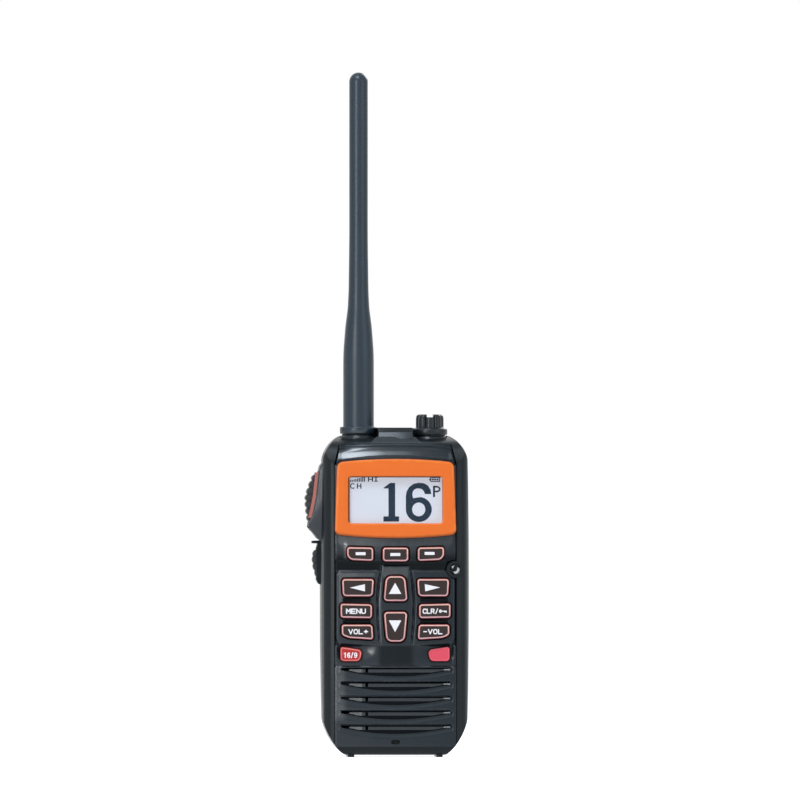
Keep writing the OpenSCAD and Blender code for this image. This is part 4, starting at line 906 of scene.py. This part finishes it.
def makeLouvers():
    parts, sheets = [], []
    t = np.linspace(-1, 1, louver["steps"])
    # the ledge slants in at its left end and out to the face at its right end
    (leftEnd, leftWide), (rightEnd, rightWide) = louver["in"], louver["out"]
    left, right = np.clip((leftEnd - t) / leftWide, 0, 1), np.clip((t - rightEnd) / rightWide, 0, 1)
    face = louver["faceY"] + 1.2 * left - 0.95 * right
    lip = face - 0.15 * (1 - left) * np.maximum(1 - 3 * right, 0) - 0.03
    inner = np.full(len(t), louver["backY"])
    x = np.repeat((t * (panel["slotHalf"] - 0.05))[:, None], 4, 1)
    depth, behind = np.stack([face, lip, inner, inner], 1), np.tile(np.repeat(louver["clothY"], 2), (len(t), 1))
    for top in panel["slotTops"]:
        head = top - 0.62 + 0.2 * right
        low = slotFoot(top, t)
        foot = np.maximum(top - 1.95, low + 0.5) * (1 - right) + (top - 1.15) * right
        ledge = np.stack([x, depth, np.stack([head, foot, foot, head], 1)], -1)
        parts += [loftRings(ledge[1:louver["break"]]), loftRings(ledge[louver["break"] + 1:])]
        low = np.minimum(low + 0.03, foot)
        sheets.append(loftRings(np.stack([x, behind, np.stack([foot + 0.1, low, low, foot + 0.1], 1)], -1)[4:-4]))
        parts.append(roundBox(*[(x, y, top + z) for x, y, z in louver["rib"]], 0.12, 2))
    makePiece("speaker_cloth", joined(*sheets), "membrane")
    makePiece("speaker_louvers", joined(*parts), "louver", sharp=30)


makeLouvers()


# Display: orange frame, window and what it shows
display = {
    "middle": (0, 107.1), "size": (39.2, 19.5), "radius": 1.2,
    "border": (-19.1, 97.3, 19.5, 116.5),    # left, foot, right and head of the picture
    "faceY": -19.7, "chamfer": 0.9, "glassY": (-19.3, -18.1), "lcdY": (-17.5, -16.1),
}


def windowOutline(grow, radius, steps=6):
    # the display's opening, larger or smaller all round by half of grow
    width, height = display["size"]
    return roundedRect(*display["middle"], width + grow, height + grow, radius, steps)


def polarRing(outline, centre, angle):
    # radius of a star-shaped outline at each angle from its centre
    dense = densify(outline, 0.05) - centre
    around = np.arctan2(dense[:, 1], dense[:, 0])
    order = np.argsort(around)
    radius = np.interp(angle, around[order], np.hypot(dense[:, 0], dense[:, 1])[order], period=2 * math.pi)
    return centre + np.stack([radius * np.cos(angle), radius * np.sin(angle)], 1)


def makeBezel():
    centre = np.array(display["middle"])
    outer = densify(bezelOutline(), 0.6)
    angle = np.arctan2(*(outer - centre).T[::-1])
    opening = windowOutline(0, display["radius"], 8)
    face, chamfer = display["faceY"], display["chamfer"]
    case = frontY(outer[:, 1]) - 0.01
    # [growth, y] from the back, over the chamfered rim and the face, into the opening and round to the back
    rim = [(-1.0, -17.0), (-1.0, -18.9), (0.0, case), (0.0, face + 0.42), (-0.10, face + 0.28),
           (-chamfer * 0.45, face + 0.13), (-chamfer, face + 0.02), (-chamfer - 0.25, face)]
    inner = [(0.75, face), (0.55, face + 0.02), (0.12, face + 0.28), (0.0, face + 0.5), (0.0, -17.0)]
    rings = [standing(polarRing(offsetLoop(outline, out), centre, angle), y)
             for outline, levels in ((bezelOutline(), rim), (opening, inner)) for out, y in levels]
    points, faces = loftRings(rings + rings[:1], caps=False)
    # painted light on the frame: a painted highlight on the chamfered rim and on the opening's lip, and painted shade
    # at the back, in the opening and along the rim's lower edge
    worn = np.repeat([0, 0, 0, 0, .2, .8, .6, .1, .0, .2, .5, .1, 0, 0], len(angle))
    deep = np.repeat([1, 1, .8, .75, .35, 0, 0, 0, 0, 0, 0, .3, .8, 1], len(angle))
    shadedLowRim = np.repeat([0, 0, 1, 1, 1, .9, .35, 0, 0, 0, 0, 0, 0, 0], len(angle)) * ease(94.6, 93.4, points[:, 2])
    makePiece("display_frame", (points, faces), "orange", replaces="display_bezel", sharp=50,
              marks={"worn": worn * (1 - shadedLowRim) * 0.6, "deep": np.maximum(deep, 0.6 * shadedLowRim)}, merge=0.001)


# Head: the panel's skin runs on upwards, higher between the sockets, where a ridge with a slanting face stands
ridge = {
    "at": 0.3, "backY": -6.8, "half": 7.2, "from": 129.6, "leave": 130.2, "slope": 0.85, "high": 133.45,
    "low": 131.0, "skin": 0.8, "skinGloss": 0.19,
    "levels": [[132.6, -11.6], [133.3, -11.15], [135.25, -9.9], [135.5, -9.82], [136.98, -9.75], [137.1, -9.6]],
}


def makeHead():
    # rows follow the side profile up to "leave" and then a straight slope, up to a height that depends on x
    y, z, _, _ = frontPath()
    x = np.linspace(-21, 21, 85)
    away = np.abs(x - ridge["at"])
    high = ridge["low"] + (ridge["high"] - ridge["low"]) * ease(11.0, 7.4, away) - 0.5 * ease(17, 21, away)
    t = np.linspace(0, 1, 24)[:, None]
    height = ridge["from"] + (high - ridge["from"]) * t
    depth = np.interp(np.minimum(height, ridge["leave"]), z[::-1], y[::-1])
    depth = depth + ridge["slope"] * np.maximum(height - ridge["leave"], 0)
    lift = relief(x + 0 * height, height) * ease(*panel["headFade"], height) - 0.06 * ease(0, 0.15, t)
    front = np.stack([x + 0 * height, depth + lift, height], -1)
    makePiece("head_skin", shell(front, front[..., 1] + ridge["skin"]), "panel", sharp=50,
              marks={"gloss": ridge["skinGloss"]})
    left, right, behind = ridge["at"] - ridge["half"], ridge["at"] + ridge["half"], ridge["backY"]
    points, faces = loftRings([level(roundedOutline(
        [[left, y + 0.45, 0.3], [right, y - 0.45, 0.3], [right, behind, 0.1], [left, behind, 0.1]], 4), z)
        for z, y in ridge["levels"]])
    # painted shade on the ridge's top, and a painted highlight coat that is weaker on its slanting face
    slanting = ease(135.5, 135.2, points[:, 2])
    makePiece("head_ridge", (points, faces), "panel", sharp=12,
              marks={"deep": 0.2 * (1 - slanting), "gloss": 0.2 - 0.1 * slanting})


makeHead()

print("display")
makeBezel()


def makeWindow():
    face, back = display["lcdY"]
    makePiece("window_pane", plate(windowOutline(-0.1, 1.15), *display["glassY"], 0.15), "glass",
              replaces="display_window")
    makePiece("display_panel", plate(windowOutline(2.4, 2.4), face, back, 0.2), "lcd",
              replaces="lcd_panel")
    # black frame round the picture on the film: a painted shadow round the picture's edges, where the frame over the
    # window casts its dark line
    inner = roundedOutline(np.column_stack([rect(*display["border"]), np.full(4, 0.3)]), 3)
    border = carve(*prism(windowOutline(1.6, 1.5, 4), face - 0.02, face - 0.12), [prism(inner, -16, -19)])
    makePiece("display_border", border, "seal")


makeWindow()


def flatShape(outline, y, holes=()):
    # a printed mark: a thin plate whose face stands at y
    shape = prism(outline, y + 0.05, y)
    return carve(*shape, [joined(*[prism(h, y + 1, y - 1) for h in holes])]) if holes else shape


def strokeBand(line, width):
    # a line with a thickness, as an outline
    d = np.gradient(line, axis=0)
    d = d / np.linalg.norm(d, axis=1, keepdims=True)
    side = np.stack([d[:, 1], -d[:, 0]], 1) * width / 2
    return np.concatenate([line + side, (line - side)[::-1]])


def makeSegments():
    y = display["lcdY"][0] - 0.05
    digit = [[-4.55, 97.7], [1.97, 97.7], [1.97, 99.85], [0.34, 99.85], [0.34, 113.8], [-1.75, 113.8],
             [-4.5, 111.75], [-4.3, 111.45], [-2.45, 111.5], [-2.45, 99.85], [-4.55, 99.85]]
    # the 6: outer shape and the bowl's hole
    outer = np.concatenate([
        ellipse(10.2, 102.75, 5.4, 5.2, -90, 90, 24)[:-1],
        [[7.9, 107.4], [7.5, 108.6], [7.6, 109.9], [8.2, 110.9], [9.2, 111.45], [10.3, 111.5], [11.5, 111.2],
         [12.3, 110.3], [12.75, 109.15], [15.4, 109.15], [15.1, 110.9], [14.1, 112.6], [12.4, 113.6],
         [10.3, 113.85], [8.0, 113.4], [6.2, 112.1], [5.1, 110.2], [4.8, 108.5], [4.8, 102.75]],
        ellipse(10.2, 102.75, 5.4, 5.2, 180, 270, 14)[1:-1]])
    arch = np.concatenate([[[16.1, 112.2]], ellipse(17.6, 111.2, 1.3, 1.0, 90, -90, 14), [[16.1, 110.2]]])
    # power mark, signal meter, HI, channel group, battery
    plain = [rect(16.1, 107.9, 16.95, 112.6), strokeBand(arch, 0.7)]
    plain += [rect(x, 114.3, x + 0.45, 114.9 + 0.17 * i) for i, x in enumerate(-18.4 + i * 0.72 for i in range(9))]
    plain += [rect(x, 114.3, x + 0.5, 116.3) for x in (-11.0, -9.35, -7.9)]
    plain += [rect(-10.6, 115.1, -9.2, 115.5), rect(-8.4, 114.3, -6.9, 114.65), rect(-8.4, 115.95, -6.9, 116.3)]
    plain += [strokeBand(ellipse(-17.3, 112.5, 0.95, 0.95, 45, 315, 16), 0.42), rect(-15.6, 111.4, -15.15, 113.6),
              rect(-14.15, 111.4, -13.7, 113.6), rect(-15.4, 112.3, -13.9, 112.7)]
    cells = [rect(14.55, 114.8, 15.05, 115.6)] + [rect(15.6 + i, 114.8, 16.4 + i, 115.6) for i in range(3)]
    shapes = [flatShape(digit, y), flatShape(outer, y, [ellipse(10.15, 102.75, 2.75, 2.85)])]
    shapes += [flatShape(outline, y) for outline in plain]
    shapes.append(flatShape(rect(15.0, 114.2, 19.0, 116.2), y, [rect(15.35, 114.55, 18.65, 115.85)]))
    points, faces = joined(*shapes, *[flatShape(outline, y) for outline in cells])
    makePiece("display_segments", (points + [-0.45, 0, 0.4], faces), "ink")


makeSegments()


# Keys: straight flanks, a rounded rim and a shallow dish
keyForm = {"frontY": -20.1, "backY": -16.95, "flangeY": -16.45, "flange": 0.6, "rim": 0.78, "dish": 0.16}
keyLook = {"channel_16_key": ("redKey", "red_key_plastic"), "power_key": ("pinkKey", "pink_key_plastic")}


def makeKey(node, shape, side):
    outline = keyOutline(shape, side)
    face, rim, flange = (keyForm[name] for name in ("frontY", "rim", "flange"))
    # [y, growth of the outline, rim mark, mark of the flank's painted shade]
    levels = [
        (keyForm["flangeY"], flange, 0, 1), (keyForm["backY"], flange, 0, 1), (keyForm["backY"], 0, 0, 1),
        (face + 0.9, 0, 0, 1), (face + 0.42, 0, 0, 1), (face + 0.24, -0.05, 0, 1), (face + 0.12, -0.14, 0.1, 1),
        (face + 0.04, -0.26, 0.6, 0.5), (face, -0.42, 1, 0), (face + 0.03, -0.6, 1, 0), (face + 0.1, -rim, 1, 0),
        (face + keyForm["dish"], -rim - 0.08, 0, 0), (face + keyForm["dish"], -rim - 0.2, 0, 0)]
    points, faces = flaredPrism(outline, [(y, out) for y, out, _, _ in levels])
    rimMark, flank = (np.repeat([at[i] for at in levels], len(outline)) for i in (2, 3))
    _, middle, _, height = keySizes[shape]
    # painted light on the rim: brighter at the key's head and duller towards its foot
    foot = ease(middle + 0.4 * height, middle - 0.5 * height, points[:, 2])
    finish, slot = keyLook.get(node, ("key", "key_plastic"))
    makePiece(node + "_cap", (points, faces), finish, body=node + "_body", replaces=node, sharp=60,
              marks={"rim": rimMark, "flank": flank, "foot": foot})


print("keys")
for node, (shape, side) in keys.items():
    makeKey(node, shape, side)


# Legends stand just proud of each key's dish
letters = {  # strokes on a 4 by 6 grid, x and z of each point in turn
    "M": ["0 0 0 6 2 2.6 4 6 4 0"], "E": ["4 0 0 0 0 6 4 6", "0 3 3.4 3"], "N": ["0 0 0 6 4 0 4 6"],
    "U": ["0 6 0 1.2 0.6 0.3 2 0 3.4 0.3 4 1.2 4 6"], "V": ["0 6 2 0 4 6"], "L": ["0 6 0 0 3.8 0"],
    "O": ["0.1 3 0.3 5 1.3 5.9 2.7 5.9 3.7 5 3.9 3 3.7 1 2.7 0.1 1.3 0.1 0.3 1 0.1 3.01"],
    "C": ["4 5 3.2 5.9 1.2 5.9 0.2 4.8 0 3 0.2 1.2 1.2 0.1 3.2 0.1 4 1"],
    "R": ["0 0 0 6 3 6 3.9 5.2 3.9 3.9 3 3.1 0 3.1", "2 3.1 4 0"],
    "1": ["0.8 4.8 2.2 6 2.2 0"], "/": ["0.6 -0.3 3.2 6.3"], "+": ["0.2 3 3.8 3", "2 1.2 2 4.8"], "-": ["0.4 3 3.6 3"],
    "9": ["0.4 0.6 1.6 0 3 0.6 3.8 2.4 3.8 4.4 3 5.7 1.8 6 0.6 5.6 0.1 4.4 0.5 3 1.7 2.5 3.1 3 3.7 4"],
    "6": ["3.6 5.4 2.4 6 1 5.4 0.2 3.6 0.2 1.6 1 0.3 2.2 0 3.4 0.4 3.9 1.6 3.5 3 2.3 3.5 0.9 3 0.3 2"],
    "k": ["0.2 3 0.5 4.1 1.4 4.6 2.3 4.1 2.6 3 2.3 1.9 1.4 1.4 0.5 1.9 0.2 3"],    # a key sign: bow and shank
    "w": ["-1.8 3 4 3 4 1.7", "2.2 3 2.2 1.7"],
}
barMarks = {  # x, z
    "soft_key_left": (-14.55, 84.75), "soft_key_centre": (-0.1, 84.4), "soft_key_right": (14.15, 84.85)}
arrowMarks = {
    "left_key": [[-19.0, 70.6], [-12.75, 69.05], [-12.75, 72.05]],
    "right_key": [[18.55, 70.7], [12.15, 72.05], [12.35, 69.05]],
    "up_key": [[-2.8, 68.0], [2.4, 68.0], [-0.2, 72.6]], "down_key": [[-0.2, 52.1], [2.4, 57.0], [-2.8, 57.0]]}
wordMarks = {  # text, x, z, height, width, weight
    "menu_key": ("MENU", -16.5, 60.8, 1.75, 8.4, 0.5), "clear_key": ("CLR/kw", 16.3, 60.8, 1.75, 10.1, 0.44),
    "volume_up_key": ("VOL+", -15.5, 52.3, 1.75, 8.5, 0.48),
    "volume_down_key": ("-VOL", 15.5, 52.3, 1.75, 8.4, 0.48),
    "channel_16_key": ("16/9", -18.8, 42.5, 1.9, 5.8, 0.44)}


def writing(y, text, x, z, height, width, weight):
    # words centred at x, z from stroke letters; each stroke is a flat bar that overlaps the next
    advance = width / len(text)
    parts = []
    for i, letter in enumerate(text):
        for stroke in letters[letter]:
            line = np.array(stroke.split(), float).reshape(-1, 2) * [advance * 0.72 / 4, height / 6]
            line += [x - width / 2 + advance * (i + 0.14), z - height / 2]
            for a, b in zip(line[:-1], line[1:]):
                along = (b - a) / max(np.linalg.norm(b - a), 1e-9)
                across = np.array([along[1], -along[0]]) * weight / 2
                a, b = a - along * weight * 0.4, b + along * weight * 0.4
                bar = np.array([a + across, b + across, b - across, a - across])
                parts.append(prism(bar, y + 0.08, y - 0.002 * len(parts)))
    return joined(*parts)


def makeLegends():
    y = keyForm["frontY"] + keyForm["dish"] - 0.03
    marks = {node: prism(roundedRect(*at, 4.15, 1.25, 0.2, 3), y + 0.08, y) for node, at in barMarks.items()}
    marks.update({node: prism(arrow, y + 0.08, y) for node, arrow in arrowMarks.items()})
    marks.update({node: writing(y, *words) for node, words in wordMarks.items()})
    for node, shape in marks.items():
        makePiece(node + "_legend", shape, "legend", body=node + "_body")


makeLegends()


# Whip antenna: turned rubber, [radius, height], with a skirt over its collar
antenna = {
    "at": (-14.85, 2.0),
    "skirt": [[7.35, 134.605], [7.65, 134.72], [7.8, 135.0], [7.8, 136.9], [7.72, 137.25], [7.5, 137.45],
              [6.9, 137.5], [6.45, 137.52], [6.4, 137.6]],
    "taper": [[6.4, 139], [6.4, 165], [6.28, 169.5], [5.5, 179.5], [4.5, 187], [4.15, 194.5], [3.95, 209.6],
              [3.875, 218], [3.875, 282]],
    "tipRadius": 3.875, "tipZ": 281.425,
}


def makeAntenna():
    radius, height = np.array(antenna["taper"]).T
    z = np.arange(138.4, 281.4, 0.8)
    r = smoothed(np.interp(z, height, radius), np.hanning(9))
    turn = np.linspace(0, math.pi / 2, 15)
    tip = np.stack([antenna["tipRadius"] * np.cos(turn), antenna["tipZ"] + antenna["tipRadius"] * np.sin(turn)], 1)
    tip[-1, 0] = 0.02
    profile = np.concatenate([antenna["skirt"], np.stack([r, z], 1), tip])
    points, faces = revolve(profile, antenna["at"], steps=112)
    # painted shade on the skirt's sides, and a painted highlight coat on the skirt's front
    skirt, aside = ease(137.9, 137.5, points[:, 2]), np.abs(points[:, 0] - antenna["at"][0])
    makePiece("antenna_whip", (points, faces), "antenna", body="antenna",
              replaces="antenna_sheath", marks={
                  "deep": 0.85 * skirt * ease(5.8, 6.5, aside),
                  "gloss": 0.4 * skirt * ease(5, 3, aside) * ease(136.8, 136.3, points[:, 2])})


print("antenna")
makeAntenna()


# Socket cap: a skirt, a grip with eight lobes, and a notch across its top; profile is [radius, height] and
# notch is [half width, foot]
socketCap = {
    "at": (14.85, 2.0), "valley": 0.95, "lobes": 8, "notch": (1.38, 141.5), "gripFoot": (137.0, 137.5),
    "profile": [[6.95, 134.105], [7.22, 134.2], [7.35, 134.5], [7.35, 136.2], [7.2, 136.6], [6.9, 136.82],
                [6.2, 136.95], [5.85, 137.1], [5.8, 137.4], [5.8, 139], [5.8, 140.6], [5.72, 141.5],
                [5.5, 142.1], [5.1, 142.5], [4.5, 142.68], [3.9, 142.7]],
}


# Collars at the foot of the antenna and of the cap, each with its barrel and bore: turned, [radius, height]
collars = {
    "antenna_bushing": (antenna["at"], [
        [0.01, 122.4], [5.4, 122.4], [5.4, 132.4], [7.7, 132.4], [7.8, 132.5], [7.8, 132.8], [7.72, 132.98],
        [6.98, 134.2], [6.86, 134.45], [6.8, 134.58], [3.2, 134.58], [3.05, 134.43], [3.05, 125.5], [0.01, 125.5]]),
    "audio_jack": (socketCap["at"], [
        [0.01, 119.7], [5.4, 119.7], [5.4, 131.7], [7.25, 131.7], [7.35, 131.8], [7.35, 132.3], [7.27, 132.48],
        [6.53, 133.7], [6.41, 133.95], [6.35, 134.08], [3.75, 134.08], [3.6, 133.93], [3.6, 126.0], [1.8, 126.0],
        [1.8, 121.0], [0.01, 121.0]]),
}


def fromAxis(points, at):
    # distance from an upright axis
    return np.hypot(points[:, 0] - at[0], points[:, 1] - at[1])


def makeCollars():
    for node, (at, profile) in collars.items():
        points, faces = revolve(profile, at)
        # painted shade inside the barrel's radius, in the bore and on the barrel
        makePiece(node + "_turned", (points, faces), "collar", replaces=node, sharp=40,
                  marks={"deep": 0.9 * ease(5.6, 5.0, fromAxis(points, at))})


makeCollars()


def makeSocketCap():
    def lobed(radius, height, angle):
        # r falls by the valley's depth between lobes: 1 - |cos(4 angle)|^0.6
        wave = 1 - np.abs(np.cos(socketCap["lobes"] / 2 * angle)) ** 0.6
        return radius - socketCap["valley"] * wave * ease(*socketCap["gripFoot"], height)

    points, faces = revolve(socketCap["profile"], socketCap["at"], steps=192, lobes=lobed)
    x, y = socketCap["at"]
    half, low = socketCap["notch"]
    points, faces = carve(points, faces, [roundBox((x - half, y - 9, low), (x + half, y + 9, 146), 0.25)])
    z = points[:, 2]
    # painted shade in the valleys between the lobes, and the top painted lighter
    deep = ease(5.6, 4.8, fromAxis(points, (x, y))) * ease(*socketCap["gripFoot"], z) * ease(142.4, 141.9, z)
    makePiece("socket_cap", (points, faces), "cap", body="cap", replaces="jack_cap",
              sharp=38, marks={"deep": deep * 0.8, "worn": ease(141.6, 142.6, z) * 0.35})


makeSocketCap()


# Strobe: a clear dome over a cup painted dark as shade, with a mirrored crescent and dot in it that stand for a
# painted reflection and a painted highlight; profiles are [radius, y]
def makeStrobe():
    turn = np.linspace(0, math.pi / 2, 12)
    radius = strobe["lensRadius"]
    dome = np.stack([radius * np.cos(turn), strobe["lensY"] - strobe["lensRise"] * np.sin(turn)], 1)
    dome[-1, 0] = 0.01
    body = [[0.01, -16.7], [1.2, -16.7], [2.0, -16.75], [radius, -16.95], [radius, -18.2]]
    makePiece("strobe_dome", revolve(np.concatenate([body, dome]), strobe["at"], axis="y", steps=64), "dome",
              replaces="strobe_lens")
    cup = [[0.01, -17.02], [2.12, -17.02], [2.16, -18.6], [2.06, -18.6], [1.75, -17.9], [1.2, -17.35],
           [0.7, -17.15], [0.01, -17.12]]
    makePiece("strobe_reflector", revolve(cup, strobe["at"], axis="y", steps=48), "membrane")
    # crescent: a disc less a disc that lies up and to the left, with a small dot across from it: a painted reflection
    # at the lower right and a painted highlight at the upper left
    disc, bite = ellipse(25.45, 77.65, 1.4, 1.4), ellipse(24.5, 78.5, 1.25, 1.25)
    dot = prism(ellipse(23.85, 79.2, 0.38, 0.38), -17.9, -18.1)
    makePiece("strobe_crescent", joined(carve(*prism(disc, -17.9, -18.1), [prism(bite, -17, -19)]), dot),
              "mirror")


makeStrobe()


# Rubber pads on the left flank: x = crest + fall t^power along z, with rounded ribs across; pairs are
# above and below the crest
pads = {
    "ptt_button": {
        "body": "talk_button", "z": (95.0, 118.1), "halfY": 8.55, "crestZ": 107.8, "crestX": -37.35,
        "fall": (4.6, 3.6), "reach": (12.5, 19), "power": (1.35, 2.0), "ribs": 8, "ribDepth": 0.8,
        "backX": -29.2, "corner": 1.5},
    "side_key": {
        "body": "side_button", "z": (74.4, 86.7), "halfY": 5.3, "crestZ": 83.0, "crestX": -34.4,
        "fall": (1.4, 1.4), "reach": (4, 7.6), "power": (2.0, 2.0), "ribs": 4, "ribDepth": 0.5,
        "backX": -29.2, "corner": 1.2},
}


def quarterRound(radius, near):
    # how far a rounded edge lies back, near millimetres from it
    return radius - np.sqrt(np.maximum(radius ** 2 - np.maximum(radius - near, 0) ** 2, 0))


def makePad(node, form):
    z = np.linspace(*form["z"], form["ribs"] * 16 + 1)
    up, down = form["reach"]
    t = np.where(z > form["crestZ"], (z - form["crestZ"]) / up, (form["crestZ"] - z) / down)
    end = np.minimum(z - form["z"][0], form["z"][1] - z)
    roundEnd = quarterRound(form["corner"], end)
    phase = (z - form["z"][0]) / (form["z"][1] - form["z"][0]) * form["ribs"]
    rib = 1 - np.abs(np.sin(math.pi * phase)) ** 0.7
    fall, power = (np.where(z > form["crestZ"], *form[name]) for name in ("fall", "power"))
    face = form["crestX"] + fall * t ** power + form["ribDepth"] * rib + roundEnd
    # each level is a rectangle with two round corners, from the back edge round the face and back
    turn = np.linspace(0, math.pi / 2, 7)
    r = form["corner"]
    half = form["halfY"] - 0.25 * roundEnd
    cornerX = face[:, None] + r - r * np.sin(turn)
    cornerY = half[:, None] - r + r * np.cos(turn)
    middleX = np.repeat(face[:, None], 7, 1)
    middleY = (half - r)[:, None] * np.linspace(1, -1, 9)[1:-1]
    back = np.full((len(z), 1), form["backX"])
    x = np.concatenate([back, cornerX, middleX, cornerX[:, ::-1], back], 1)
    y = np.concatenate([half[:, None], cornerY, middleY, -cornerY[:, ::-1], -half[:, None]], 1)
    # painted shade in the ribs' valleys, and their crests painted lighter
    deep = np.repeat(rib ** 2, x.shape[1]) * 0.9
    worn = np.repeat((1 - rib) ** 3, x.shape[1]) * 0.5
    makePiece(node + "_pad", loftRings(np.stack([x, y, z[:, None] + 0 * x], -1)), "grip",
              body=form["body"], replaces=node, sharp=50, marks={"deep": deep, "worn": worn})


print("side pads")
for node, form in pads.items():
    makePad(node, form)


# Fairing: the housing's front, slanted to the left and bowed along z; its outline is [z, x]
fairing = {
    "innerX": -28.4, "backY": -11.0, "frontY": -13.5, "slant": (0.0, 0.25), "turnZ": (97, 110), "bow": 0.8,
    "edge": 0.5,
    "outline": [[89.0, -29.3], [91.2, -32.6], [95.8, -36.2], [97.6, -36.0], [100, -34.7], [103.4, -33.9],
                [108.5, -32.9], [114, -32.3], [118.4, -31.9], [121.2, -31.2], [123.8, -29.3]],
}


def makeFairing():
    height, reach = np.array(fairing["outline"]).T
    z = np.linspace(height[0], height[-1], 90)
    outerX = smoothed(np.interp(z, height, reach), np.ones(5))
    u = np.linspace(0, 1, 24) ** 1.3
    x = outerX[:, None] + (fairing["innerX"] - outerX)[:, None] * u
    # y = front + bow ((z - 114) / 20)^2 - slant(z) (x - outer edge), rounded at the outer edge and at both ends
    low, high = fairing["slant"]
    slant = low + (high - low) * ease(*fairing["turnZ"], z[:, None])
    y = fairing["frontY"] + fairing["bow"] * ((z[:, None] - 114) / 20) ** 2 - slant * (x - outerX[:, None])
    near = np.minimum(x - outerX[:, None], np.minimum(z - z[0], z[-1] - z)[:, None])
    y = y + quarterRound(fairing["edge"], near) + 0.25 * ease(4.0, 0.0, near) ** 2
    front = np.stack([x, y, z[:, None] + 0 * x], -1)
    makePiece("talk_fairing", shell(front, fairing["backY"]), "talk", sharp=50)


makeFairing()
